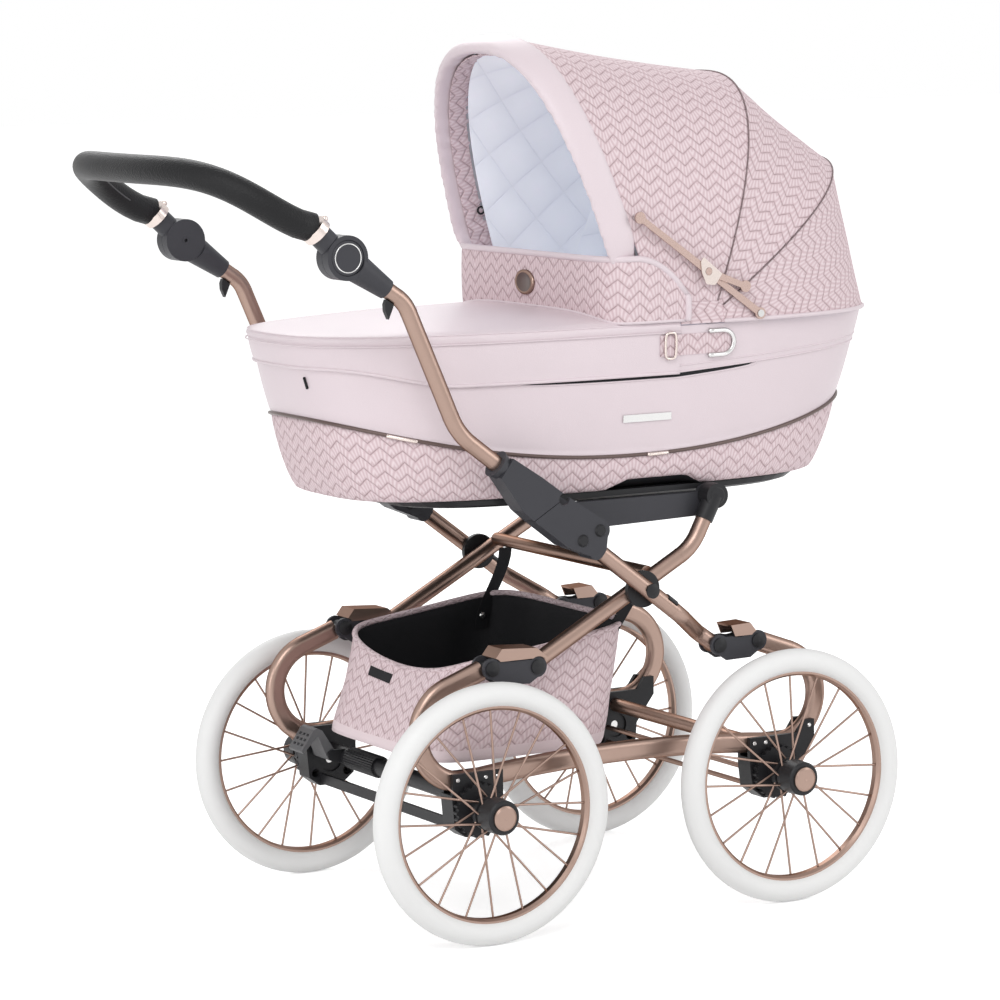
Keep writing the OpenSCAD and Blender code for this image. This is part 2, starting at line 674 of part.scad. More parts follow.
// Push tubes run from the hinge tang up to the round joints
joint_p = [joint_x, joint_z];
tube_start = hinge_s + 45;
knee_low = on_arm(hinge_s + 248, tube_n);
knee_up = joint_p + [89, -62];
joint_dir = unit(joint_p - knee_up);
module push_tubes() {
  color(bronze) both() difference() {
    union() {
      bent([at_y(on_arm(tube_start, tube_n), arm_y), at_y(knee_low, arm_y), at_y(knee_up, arm_y),
        at_y(joint_p - joint_dir*42, arm_y)], [90, 45], tube_d);
      arm_frame(arm_y) linear_extrude(10, center = true) {
        translate([hinge_s, hinge_n]) circle(9);
        polygon([[hinge_s, hinge_n - 9], [hinge_s + 29, 4.5], [hinge_s + 41, -2], [hinge_s + 54, -2],
          [hinge_s + 54, tube_n + 9], [hinge_s, hinge_n + 9]]);
      }
    }
    arm_frame(arm_y) translate([hinge_s, hinge_n, -40]) cylinder(h = 80, d = bolt_d + 2*run);
  }
}
half_t = 16;
joint_pin = half_t + 0.4;
module joint_sockets() {
  w = at_y(joint_dir, 0);
  u = side(w);
  color(dark) both() difference() {
    union() {
      axes(at_y(joint_p - joint_dir*76, arm_y), u, cross(w, u), w) cylinder(h = 58, d1 = tube_d + 5, d2 = 40);
      pin_y(joint_x, joint_z, arm_y + half_t/2 + 0.2, half_t - 0.4, joint_d);
    }
    rod(at_y(joint_p - joint_dir*90, arm_y), at_y(joint_p - joint_dir*41.9, arm_y), tube_d + 0.1);
    pin_y(joint_x, joint_z, arm_y - 19.8, 40, joint_d + 1);
    pin_y(joint_x, joint_z, arm_y + half_t + 30, 80, button_d + 0.6);
  }
  color(dark) both() difference() {
    pin_y(joint_x, joint_z, arm_y + (3 - joint_pin)/2, joint_pin + 3, bolt_d);
    pin_y(joint_x, joint_z, arm_y - joint_pin, 8, bolt_d/2);
  }
}
module lock_sleeves() {
  color(dark) both() arm_frame(arm_y) difference() {
    union() {
      linear_extrude(lock_w, center = true) difference() {
        polygon([[split_top + 1, hinge_n + 9], [split_low + 1, -26], [split_low + 22, -25],
          [split_low + 76, -8], [split_low + 76, 23], [split_low + 26, 27]]);
        translate([split_top + 2, hinge_n + 3]) circle(8);
      }
      translate([split_low + 70, tube_n, 0]) rotate([0, 90, 0]) cylinder(h = 16, d1 = 30, d2 = 39);
    }
    translate([0, tube_n, 0]) rotate([0, 90, 0]) cylinder(h = 500, d = tube_d + 2*run);
  }
}
// Finger triggers under the round joints
module triggers() {
  w = joint_dir;
  n = [w[1], -w[0]];
  p = knee_up + w*13.4;
  color(black) both() slab(arm_y, 8) polygon([p - n*(tube_d/2 + 0.5), p + w*13 - n*(tube_d/2 + 0.5),
    p + w*11.5 - n*(tube_d/2 + 7), p + w*6 - n*(tube_d/2 + 14), p - w*4 - n*(tube_d/2 + 20),
    p - w*2 - n*(tube_d/2 + 10)]);
}

// Hand grip: U bar in plan, arched in side view
grip_0 = joint_p + neck_dir*(neck_len + collar_len + 0.2);
grip_square = 0.77;
grip_arch = 1.45;
function grip_pt(t) = let (f = pow(abs(cos(t)), grip_square))
  [grip_0[0] - grip_reach*f, arm_y*sgn_pow(sin(t), grip_square),
    grip_0[1] + grip_rise*sin(90*pow(f, grip_arch))];
grip_steps = 44;
function grip_t(i) = let (v = 2*i/grip_steps - 1) 90*(0.55*v + 0.45*pow(v, 5));
module joint_hubs() {
  color(dark) both() difference() {
    union() {
      pin_y(joint_x, joint_z, arm_y - half_t/2 - 0.2, half_t - 0.4, joint_d);
      rod(at_y(joint_p, arm_y), at_y(joint_p + neck_dir*neck_len, arm_y), 2*half_t - 1);
    }
    pin_y(joint_x, joint_z, arm_y + 19.8, 40, joint_d + 1);
    pin_y(joint_x, joint_z, arm_y, 80, bolt_d + 2*run);
  }
}
button_d = 46;
button_t = 7;
module button() {
  translate([joint_x, arm_y + half_t - 6.5, joint_z]) rotate([-90, 0, 0]) rotate_extrude()
    polygon([[0, 0], [button_d/2, 0], [button_d/2, button_t - 1.5], [button_d/2 - 1.5, button_t],
      [0, button_t]]);
}
module grip_collars() {
  a = joint_p + neck_dir*(neck_len + 0.1);
  color("#c9a79b") both() {
    rod(at_y(a, arm_y), at_y(a + neck_dir*collar_len, arm_y), grip_d + 1);
    translate(at_y(a + neck_dir*collar_len/2 + [neck_dir[1], -neck_dir[0]]*(grip_d/2 + 1), arm_y))
      sphere(d = 9);
  }
}
module handle_grip() {
  color(black) loft([for (i = [0:grip_steps])
    let (t = grip_t(i), p = grip_pt(t), e = 0.4,
      w = i == 0 ? [neck_dir[0], 0, neck_dir[1]] : i == grip_steps ? [-neck_dir[0], 0, -neck_dir[1]]
        : unit(grip_pt(t + e) - grip_pt(t - e)),
      u = unit([0, 0, 1] - w*w[2]), v = cross(w, u))
    [for (j = [0:13]) p + (u*cos(j*360/14) + v*sin(j*360/14))*grip_d/2]]);
}
module left_button() {
  color(dark) button();
}
module right_button() {
  color(dark) mirror([0, 1, 0]) button();
}

// Cot: padded tub, wider at the rim than at the floor
cot_n = 64;
function cot_ring(z, off) = let (f = max(0, (z - cot_z0)/(cot_z1 - cot_z0)))
  [for (i = [0:cot_n - 1]) let (p = oval_pt(lerp(cot_x - 12, cot_x, f),
    lerp(cot_a0, cot_a, pow(f, 0.85)) - off, lerp(cot_b0, cot_b, pow(f, 0.55)) - off,
    lerp(3.3, 2.8, f), i*360/cot_n)) [p[0], p[1], z]];
cot_levels = [0.03, 0.1, 0.25, 0.45, 0.7, 1];
function cot_z(f) = lerp(cot_z0, cot_z1, f);
module cot_shell() {
  color(rose) loft(concat(
    [cot_ring(cot_z0, 26), cot_ring(cot_z0 + 2, 9)],
    [for (f = cot_levels) cot_ring(cot_z(f), 0)],
    [for (i = [5:-1:1]) cot_ring(cot_z(cot_levels[i]), cot_wall)],
    [cot_ring(cot_z0 + cot_wall, 26 + cot_wall)]));
}
module cot_tray() {
  z = cot_z0 - 0.4;
  lo = leg_top_z + 4.4;
  b = beam_y - beam_t/2 - 0.4;
  color(black) {
    loft([for (k = [[lo, 300, b - 4], [lo + 3, 316, b], [z, 330, b]])
      [for (i = [0:47]) let (p = oval_pt(cot_x - 10, k[1], k[2], 4, i*7.5)) [p[0], p[1], k[0]]]]);
    translate([cot_x + 74, 0, lo - 11]) linear_extrude(11.1)
      polygon([for (i = [0:47]) oval_pt(0, 130, b*0.7, 6, i*7.5)]);
  }
}
// Mattress with a crowned top and drawn-in sides
module mattress() {
  z = cot_z0 + cot_wall + 0.4;
  color("white") loft([for (k = [[0, 48], [6, 38], [20, 34], [32, 38], [38, 52], [42, 90], [45, 150]])
    [for (p = cot_ring(cot_z0 + 30, k[1])) [p[0], p[1], z + k[0]]]]);
}
// Apron over the foot end: skirt outside the rim and a low dome above it
apron_n = 40;
apron_dome = 15;
apron_t0 = acos(sgn_pow((apron_x - cot_x)/cot_a, 1.4));
apron_rows = [-1, -0.5, 0, 1, 0.93, 0.75, 0.5, 0.26, 0.04];
function apron_pt(k, t, off) = k <= 0
  ? let (z = cot_z1 + k*skirt_h + (k == 0 ? -2 : 0), p = cot_side(z, t, off))
    [min(p[0], apron_x + 0.001), p[1], z]
  : let (p = cot_side(cot_z1, t, off))
    [lerp(apron_x, min(p[0], apron_x), k), p[1]*k, cot_z1 + off - 0.8 + apron_dome*(1 - pow(k, 4))];
function cot_side(z, t, off) = let (f = (z - cot_z0)/(cot_z1 - cot_z0))
  oval_pt(lerp(cot_x - 12, cot_x, f), lerp(cot_a0, cot_a, pow(f, 0.85)) + off,
    lerp(cot_b0, cot_b, pow(f, 0.55)) + off, lerp(3.3, 2.8, f), t);
module apron() {
  function grid(off) = [for (k = apron_rows) [for (j = [0:apron_n])
    apron_pt(k, lerp(apron_t0, 360 - apron_t0, j/apron_n), off)]];
  color(rose) skin(grid(4.2), grid(1.4));
}
// Upright wind flap standing on the apron, its ends lapping the hood
flap_x = apron_x + 9;
flap_a = 122;
flap_r = 55;
module flap() {
  z0 = cot_z1 + 3.4 + apron_dome + 0.4;
  function wall(off) = [for (k = [0, 0.3, 0.6, 0.85, 1]) [for (j = [0:36])
    let (t = lerp(90.001, 269.999, j/36), p = oval_pt(flap_x, flap_a + off, hood_b + 1 + off, 8, t),
      top = cot_z1 + flap_h - 50*pow(max(0, (p[0] - flap_x + flap_r)/flap_r), 2.5))
    [p[0], p[1], lerp(z0, top, k)]]];
  color(pink) skin(wall(2.6), wall(0));
}
// Strap ring and buckle on each side of the cot
function cot_y(x, z) = let (f = (z - cot_z0)/(cot_z1 - cot_z0), n = lerp(3.3, 2.8, f))
  lerp(cot_b0, cot_b, pow(f, 0.55))
    *pow(1 - pow(abs(x - lerp(cot_x - 12, cot_x, f))/lerp(cot_a0, cot_a, pow(f, 0.85)), n), 1/n);
module strap_buckles() {
  z = cot_z1 - 27;
  color("silver") both() {
    translate([cot_x + 50, cot_y(cot_x + 50, z + 11) + 6.6, z]) rotate([90, 0, 0])
      rotate_extrude() translate([9, 0]) circle(2);
    slab(cot_y(cot_x + 118, z + 9) + 1.8, 3) translate([cot_x + 128, z]) difference() {
      square([20, 18], center = true);
      square([13, 11], center = true);
    }
  }
}
// Studs on the rim: hood pivot inward, hood iron outward
hood_z = cot_z1 + hood_up;
stud_d = 8;
stud_y0 = hood_b - cloth - 7;
stud_y1 = hood_b - cloth - 2.5;
iron_l = [hood_x + 72, hood_z - 4];
iron_m = iron_l + [-86, 61];
iron_t = iron_m + [-106, 76];
iron_y = hood_b + 2;
module cot_studs() {
  color("silver") both() {
    for (x = [hood_x, iron_l[0]]) slab((stud_y0 + stud_y1)/2, stud_y1 - stud_y0)
      translate([x - 9, cot_z1 + 0.3]) square([18, hood_up + 8]);
    pin_y(hood_x, hood_z, stud_y0 - 7.5, 15.2, stud_d);
    pin_y(iron_l[0], iron_l[1], (stud_y1 + iron_y + 4)/2, iron_y + 4 - stud_y1, 6);
    pin_y(iron_l[0], iron_l[1], iron_y + 4, 1, 10);
  }
}

// Hood: three arches, cloth panels between them and a padded front rim
arch_n = 2.6;
arch_steps = 30;
function arch_pt(o, ang, r, b, t) = let (q = r*pow(sin(t), 2/arch_n))
  [o[0] + q*cos(ang), b*sgn_pow(cos(t), 2/arch_n), o[1] + q*sin(ang)];
hood_o = [hood_x, hood_z];
front_o = [hood_x - front_off, hood_z];
base_o = [hood_x, cot_z1 + 1.6];
base_r = cot_x + cot_a - hood_x + 1.5;
function arch_t(i, t0) = let (v = i/arch_steps) t0 + (180 - 2*t0)*(v - 0.09*sin(360*v));
// Flat steel bow bent to the arch
module bow(o, ang, r, b, t0) {
  w = [-sin(ang), 0, cos(ang)]*5;
  loft([for (i = [0:arch_steps]) let (t = arch_t(i, t0), p = arch_pt(o, ang, r, b, t),
    q = arch_pt(o, ang, r - 3, b - 3, t)) [q + w, q - w, p - w, p + w]]);
}
module eye(y) {
  pin_y(hood_x, hood_z, y - 1.5, 3, 16);
}
module eye_bore() {
  pin_y(hood_x, hood_z, 0, 500, stud_d + 2*run);
}
function bow_y(i) = stud_y0 - 0.4 - i*4.2;
bow_in = cloth + 1.4;
module front_bow() {
  color("silver") {
    difference() {
      union() {
        bow(front_o + [sin(front_ang), -cos(front_ang)]*6.4, front_ang, front_r - bow_in - 5, bow_y(0), 0.2);
        both() {
          eye(bow_y(0));
          slab(bow_y(0) - 1.5, 3) translate([hood_x - front_off - 6, hood_z - 5]) square([front_off + 6, 10]);
        }
      }
      eye_bore();
    }
    both() pin_y(iron_t[0], iron_t[1], (bow_y(0) - 8 + iron_y + 2.7)/2, iron_y + 2.7 - bow_y(0) + 8, 9);
  }
}
module mid_bow() {
  color("silver") difference() {
    union() {
      bow(hood_o, mid_ang, mid_r - bow_in - 1, bow_y(1), 0.2);
      both() eye(bow_y(1));
    }
    eye_bore();
  }
}
module rear_bow() {
  color("silver") difference() {
    union() {
      bow(hood_o, rear_ang, rear_r - bow_in - 2.8, bow_y(2), 0.2);
      both() eye(bow_y(2));
    }
    eye_bore();
  }
}
// Cloth between two arches a and b, given as origin, angle and height
module panel(a, b) {
  function grid(off) = [for (k = [0.014, 0.25, 0.5, 0.75, 0.986]) [for (i = [0:arch_steps])
    let (t = arch_t(i, 1)) lerp(arch_pt(a[0], a[1], a[2] - off, hood_b - off, t),
      arch_pt(b[0], b[1], b[2] - off, hood_b - off, t), k)]];
  skin(grid(0), grid(cloth));
}
arch_f = [front_o, front_ang, front_r];
arch_m = [hood_o, mid_ang, mid_r];
arch_r = [hood_o, rear_ang, rear_r];
arch_b = [base_o, 0, base_r];
module front_panel() {
  color(pink) panel(arch_f, arch_m);
}
module mid_panel() {
  color(pink) panel(arch_m, arch_r);
}
module rear_panel() {
  color(pink) difference() {
    panel(arch_r, arch_b);
    both() pin_y(iron_l[0], iron_l[1], hood_b, 30, 12);
  }
}
rim_half = 22;
module hood_rim() {
  w = [-sin(front_ang), 0, cos(front_ang)];
  color(rose) loft([for (i = [0:arch_steps]) let (t = arch_t(i, 9),
    o = arch_pt(front_o, front_ang, front_r - 3, hood_b - 3, t) + w*(rim_half - 1.4),
    p = arch_pt(front_o, front_ang, front_r + 5, hood_b - 1, t) + w*(rim_half - 1.4))
    [for (j = [0:9]) o + w*rim_half*cos(j*36) - (p - o)*sin(j*36)]]);
}
// Folding irons outside the hood
module iron(a, b, y) {
  d = unit(b - a);
  n = [-d[1], d[0]];
  slab(y + 1.5, 3) {
    polygon([a + n*5, a - n*5, b - n*4, b + n*4]);
    translate(a) circle(8);
    translate(b) circle(8);
  }
}
module upper_irons() {
  color(bronze) both() difference() {
    union() {
      iron(iron_m, iron_t, iron_y + 3.4);
      iron(iron_m, iron_m + [60, -23], iron_y + 3.4);
    }
    pin_y(iron_m[0], iron_m[1], iron_y, 40, 6 + 2*run);
  }
}
module lower_irons() {
  color(bronze) both() {
    difference() {
      iron(iron_l, iron_m, iron_y);
      pin_y(iron_l[0], iron_l[1], iron_y, 40, 6 + 2*run);
    }
    pin_y(iron_m[0], iron_m[1], iron_y + 5, 5, 6);
    pin_y(iron_m[0], iron_m[1], iron_y + 7.4, 1.4, 10);
  }
}

// Basket slung between the rails
basket_n = 48;
basket_rake = 45;
basket_flare = 22;
basket_corner = 8;
function basket_ring(z, off) = let (f = (z - basket_z0)/118, x0 = basket_x0 + basket_rake*f,
    x1 = basket_x1 - basket_flare*(1 - f))
  [for (i = [0:basket_n - 1]) let (p = oval_pt((x0 + x1)/2, (x1 - x0)/2 - off,
    lerp(basket_b - 14, basket_b, f) - off, basket_corner, i*360/basket_n)) [p[0], p[1], z]];
module basket() {
  color(pink) loft([basket_ring(basket_z0, 10), basket_ring(basket_z0 + 3, 2), basket_ring(basket_z0 + 12, 0),
    basket_ring(basket_z1, 0), basket_ring(basket_z1, 2.4), basket_ring(basket_z0 + 12, 2.4),
    basket_ring(basket_z0 + 2.4, 12)]);
}
function unit_range(v) = min(1, max(0, v));
rim_rear = basket_top - 33;
rim_dip = 30;
function rim_top(p) = let (x0 = basket_x0 + basket_rake, v = unit_range((p[0] - x0)/(basket_x1 - x0)))
  lerp(rim_rear, basket_top, pow(v, 1.2)) - rim_dip*(1 - pow(p[1]/basket_b, 2))*(1 - unit_range(3*v));
// Closed band through rings of equal length
module hoop(rings) {
  n = len(rings[0]);
  m = len(rings);
  polyhedron([for (r = rings) each r], [for (i = [0:m - 1]) for (j = [0:n - 1]) each
    [[i*n + j, (i + 1)%m*n + (j + 1)%n, i*n + (j + 1)%n],
      [i*n + j, (i + 1)%m*n + j, (i + 1)%m*n + (j + 1)%n]]], convexity = 8);
}
strap_x = leg_foot_x - 36;
module basket_rim() {
  lo = basket_z1 + 0.4;
  function level(off, k) = [for (p = basket_ring(basket_z1 + 30*k, off))
    [p[0], p[1], lerp(lo, rim_top(p), k)]];
  color(black) {
    hoop([for (l = [[0, 0], [0, 0.5], [0, 1], [2.4, 1], [2.4, 0.5], [2.4, 0]]) level(l[0], l[1])]);
    both() {
      translate([strap_x - 10, basket_b - 16, leg_foot_z - 24])
        cube([20, rail_y - plate_gap - plate_t - 0.4 - basket_b + 16, 12]);
      slab(basket_b - 8, 3) polygon([[basket_x1 - 32, basket_top - 40], [basket_x1 - 12, basket_top - 40],
        cross_c + [8, -cross_d/2 - 0.4], cross_c + [-8, -cross_d/2 - 0.4]]);
    }
  }
}
module basket_board() {
  color(black) translate([0, 0, basket_z0 - 4.4]) linear_extrude(4)
    polygon([for (p = basket_ring(basket_z0, 6)) [p[0], p[1]]]);
}

translate([x_off, 0, 0]) spring_rails();
translate([x_off, 0, 0]) rail_fittings();
translate([x_off, 0, 0]) rear_brackets();
translate([x_off, 0, 0]) rear_saddles();
translate([x_off, 0, 0]) wheel_carriers();
translate([x_off, 0, 0]) axle_stubs();
translate([x_off, 0, 0]) front_axle();
translate([x_off, 0, 0]) rear_axle();
translate([x_off, 0, 0]) basket();
translate([x_off, 0, 0]) basket_rim();
translate([x_off, 0, 0]) basket_board();
translate([x_off, 0, 0]) tyre(-1, 1);  // tyre_rl
translate([x_off, 0, 0]) rim(-1, 1);  // rim_rl
translate([x_off, 0, 0]) hub(-1, 1);  // hub_rl
translate([x_off, 0, 0]) tyre(-1, -1);  // tyre_rr
translate([x_off, 0, 0]) rim(-1, -1);  // rim_rr
translate([x_off, 0, 0]) hub(-1, -1);  // hub_rr
translate([x_off, 0, 0]) tyre(1, 1);  // tyre_fl
translate([x_off, 0, 0]) rim(1, 1);  // rim_fl
translate([x_off, 0, 0]) hub(1, 1);  // hub_fl
translate([x_off, 0, 0]) tyre(1, -1);  // tyre_fr
translate([x_off, 0, 0]) rim(1, -1);  // rim_fr
translate([x_off, 0, 0]) hub(1, -1);  // hub_fr
translate([x_off, 0, 0]) brake_pedal();
translate([x_off, 0, 0]) leg_tubes();
translate([x_off, 0, 0]) pivot_discs();
translate([x_off, 0, 0]) leg_knuckles();
translate([x_off, 0, 0]) arm_tubes();
translate([x_off, 0, 0]) hinge_housings();
translate([x_off, 0, 0]) arm_fittings();
translate([x_off, 0, 0]) front_links();
translate([x_off, 0, 0]) front_saddles();
translate([x_off, 0, 0]) link_bolts();
translate([x_off, 0, 0]) push_tubes();
translate([x_off, 0, 0]) joint_sockets();
translate([x_off, 0, 0]) lock_sleeves();
translate([x_off, 0, 0]) triggers();
translate([x_off, 0, 0]) handle_grip();
translate([x_off, 0, 0]) joint_hubs();
translate([x_off, 0, 0]) grip_collars();
translate([x_off, 0, 0]) left_button();
translate([x_off, 0, 0]) right_button();
translate([x_off, 0, 0]) carrier_beams();
translate([x_off, 0, 0]) cot_shell();
translate([x_off, 0, 0]) cot_tray();
translate([x_off, 0, 0]) mattress();
translate([x_off, 0, 0]) apron();
translate([x_off, 0, 0]) flap();
translate([x_off, 0, 0]) strap_buckles();
translate([x_off, 0, 0]) cot_studs();
translate([x_off, 0, 0]) front_bow();
translate([x_off, 0, 0]) mid_bow();
translate([x_off, 0, 0]) rear_bow();
translate([x_off, 0, 0]) hood_rim();
translate([x_off, 0, 0]) front_panel();
translate([x_off, 0, 0]) mid_panel();
translate([x_off, 0, 0]) rear_panel();
translate([x_off, 0, 0]) upper_irons();
translate([x_off, 0, 0]) lower_irons();
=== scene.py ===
import math

import bpy
from mathutils import Matrix, Vector, noise


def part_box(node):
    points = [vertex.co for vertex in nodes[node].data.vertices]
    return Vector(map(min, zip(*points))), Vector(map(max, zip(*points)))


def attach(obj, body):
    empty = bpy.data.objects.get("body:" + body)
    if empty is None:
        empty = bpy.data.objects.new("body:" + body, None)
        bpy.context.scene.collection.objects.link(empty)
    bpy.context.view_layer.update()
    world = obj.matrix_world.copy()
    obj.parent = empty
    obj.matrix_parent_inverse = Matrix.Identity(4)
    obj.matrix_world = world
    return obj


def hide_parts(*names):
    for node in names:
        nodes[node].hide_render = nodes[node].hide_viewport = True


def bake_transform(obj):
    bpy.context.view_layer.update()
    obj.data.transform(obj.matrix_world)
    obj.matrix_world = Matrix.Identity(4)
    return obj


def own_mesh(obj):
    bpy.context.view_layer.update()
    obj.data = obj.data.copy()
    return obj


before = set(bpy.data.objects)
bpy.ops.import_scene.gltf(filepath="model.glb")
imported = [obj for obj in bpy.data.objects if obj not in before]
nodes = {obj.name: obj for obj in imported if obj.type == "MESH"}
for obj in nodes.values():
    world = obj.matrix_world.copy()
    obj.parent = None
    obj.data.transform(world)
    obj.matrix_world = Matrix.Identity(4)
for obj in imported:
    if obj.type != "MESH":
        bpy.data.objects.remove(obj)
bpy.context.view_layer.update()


def mid_x(node):
    """Middle of a node along x, in millimetres."""
    low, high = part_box(node)
    return (low[0] + high[0]) * 500


# Shapes are worked out in millimetres about the wheel base, X_OFF sets them in the frame
X_OFF = (mid_x("tyre_rl") + mid_x("tyre_fl")) / 2
COT_Z0 = 577.0
COT_H = 219.0
RIM_Z = COT_Z0 + COT_H
FLAP_X = 106.0
APRON_X = 97.0
HOOD_B = 212.0
SEG = 168
SIDES = (("left", 1), ("right", -1))


# Small helpers
def lerp(a, b, f):
    return a + (b - a) * f


def clamp(v, low=0.0, high=1.0):
    return max(low, min(high, v))


def smooth(v):
    v = clamp(v)
    return v * v * (3 - 2 * v)


def signed_pow(v, e):
    return math.copysign(abs(v) ** e, v)


def oval(x0, a, b, n, t):
    """Point of a superellipse at angle t, in degrees."""
    c, s = math.cos(math.radians(t)), math.sin(math.radians(t))
    return x0 + a * signed_pow(c, 2 / n), b * signed_pow(s, 2 / n)


def even_angles(point, start, end, count):
    """Angles from start to end at even steps along the curve point(angle)."""
    fine = [lerp(start, end, i / 2000) for i in range(2001)]
    run = [0.0]
    for a, b in zip(fine, fine[1:]):
        run.append(run[-1] + (Vector(point(b)) - Vector(point(a))).length)
    out, k = [], 0
    for i in range(count + 1):
        want = run[-1] * i / count
        while k < 1999 and run[k + 1] < want:
            k += 1
        f = (want - run[k]) / max(run[k + 1] - run[k], 1e-9)
        out.append(lerp(fine[k], fine[k + 1], clamp(f)))
    return out


def turns(count):
    """Angles of a full turn, in radians."""
    return [2 * math.pi * k / count for k in range(count)]


def wobble(p, size, amount):
    """Smooth noise of a place in millimetres."""
    return amount * noise.noise(Vector(p) / size)


# Meshes
def make(name, points, faces, mats, uvs=None, index=None):
    """Mesh from points in millimetres, faces, and a corner (u, v) in metres for each face corner."""
    mesh = bpy.data.meshes.new(name)
    mesh.from_pydata([((p[0] + X_OFF) / 1000, p[1] / 1000, p[2] / 1000) for p in points], [], faces)
    if uvs:
        layer = mesh.uv_layers.new(name="cut")
        flat = [c for uv in uvs for c in uv]
        layer.data.foreach_set("uv", flat)
    for m in mats:
        mesh.materials.append(m)
    mesh.polygons.foreach_set("use_smooth", [True] * len(faces))
    if index:
        mesh.polygons.foreach_set("material_index", index)
    mesh.update()
    piece = bpy.data.objects.new(name, mesh)
    bpy.context.scene.collection.objects.link(piece)
    return piece


def lengths(rows, wrap):
    """Mean running length in metres along the rows, and down each column from its middle."""
    n, m = len(rows), len(rows[0])
    along = [0.0]
    for j in range(m if wrap else m - 1):
        step = sum((r[(j + 1) % m] - r[j]).length for r in rows) / n / 1000
        along.append(along[-1] + step)
    down = []
    for j in range(m):
        run = [0.0]
        for a, b in zip(rows, rows[1:]):
            run.append(run[-1] + (b[j] - a[j]).length / 1000)
        down.append([v - run[n // 2] for v in run])
    return along, down


def grid_normals(rows, wrap, flip):
    n, m = len(rows), len(rows[0])
    out = []
    for i in range(n):
        line = []
        for j in range(m):
            left = rows[i][(j - 1) % m] if wrap else rows[i][max(j - 1, 0)]
            right = rows[i][(j + 1) % m] if wrap else rows[i][min(j + 1, m - 1)]
            di = rows[min(i + 1, n - 1)][j] - rows[max(i - 1, 0)][j]
            v = (right - left).cross(di)
            if v.length < 1e-9:
                v = Vector((0, 0, 1))
            line.append(v.normalized() * (-1 if flip else 1))
        out.append(line)
    return out


def grid_faces(n, m, wrap, flip):
    quads = []
    for i in range(n - 1):
        for j in range(m if wrap else m - 1):
            q = [(i, j), (i, j + 1), (i + 1, j + 1), (i + 1, j)]
            quads.append(q[::-1] if flip else q)
    return quads


def shell(name, rows, thick, mats, wrap=False, flip=False):
    """Cloth with thickness: rows of points on its outside, mats of outside and inside."""
    n, m = len(rows), len(rows[0])
    normal = grid_normals(rows, wrap, flip)
    along, down = lengths(rows, wrap)
    points = [p for r in rows for p in r]
    points += [rows[i][j] - normal[i][j] * thick for i in range(n) for j in range(m)]
    faces, uvs, index, edges = [], [], [], {}
    for q in grid_faces(n, m, wrap, flip):
        ids = [i * m + j % m for i, j in q]
        uv = [(along[j], down[j % m][i]) for i, j in q]
        faces += [ids, [k + n * m for k in ids[::-1]]]
        uvs += uv + uv[::-1]
        index += [0, 1]
        for k in range(4):
            edges[(ids[k], ids[(k + 1) % 4])] = (uv[k], uv[(k + 1) % 4])
    for (a, b), (ua, ub) in edges.items():
        if (b, a) not in edges:
            faces.append([b, a, a + n * m, b + n * m])
            uvs += [ub, ua, ua, ub]
            index.append(0)
    piece = make(name, points, faces, mats, uvs, index)
    border = set()
    for a, b in edges:
        if (b, a) not in edges:
            border |= {frozenset((a, b)), frozenset((a + n * m, b + n * m))}
    for e in piece.data.edges:
        if frozenset(e.vertices) in border:
            e.use_edge_sharp = True
    return piece


def rings(name, rows, mats, bands, flip=False):
    """Closed skin through closed rings, with a cap on the first and the last."""
    n, m = len(rows), len(rows[0])
    along, down = lengths(rows, True)
    points = [p for r in rows for p in r]
    faces, uvs, index = [], [], []
    for q in grid_faces(n, m, True, flip):
        faces.append([i * m + j % m for i, j in q])
        uvs += [(along[j], down[j % m][i]) for i, j in q]
        index.append(bands(min(i for i, j in q)))
    for i, turn in ((0, not flip), (n - 1, flip)):
        centre = len(points)
        points.append(sum(rows[i], Vector()) / m)
        for j in range(m):
            a, b = i * m + j, i * m + (j + 1) % m
            faces.append([b, a, centre] if turn else [a, b, centre])
            uvs += [(0.0, 0.0), (0.01, 0.0), (0.0, 0.01)]
            index.append(bands(min(i, n - 2)))
    return make(name, points, faces, mats, uvs, index)


def shell_ring(name, rows, mat, flip):
    """Solid ring: the last ring of points joins the first."""
    n, m = len(rows), len(rows[0])
    points = [p for r in rows for p in r]
    faces = []
    for q in grid_faces(n + 1, m, True, flip):
        faces.append([i % n * m + j % m for i, j in q])
    piece = make(name, points, faces, [mat])
    piece.data.polygons.foreach_set("use_smooth", [False] * len(faces))
    return piece


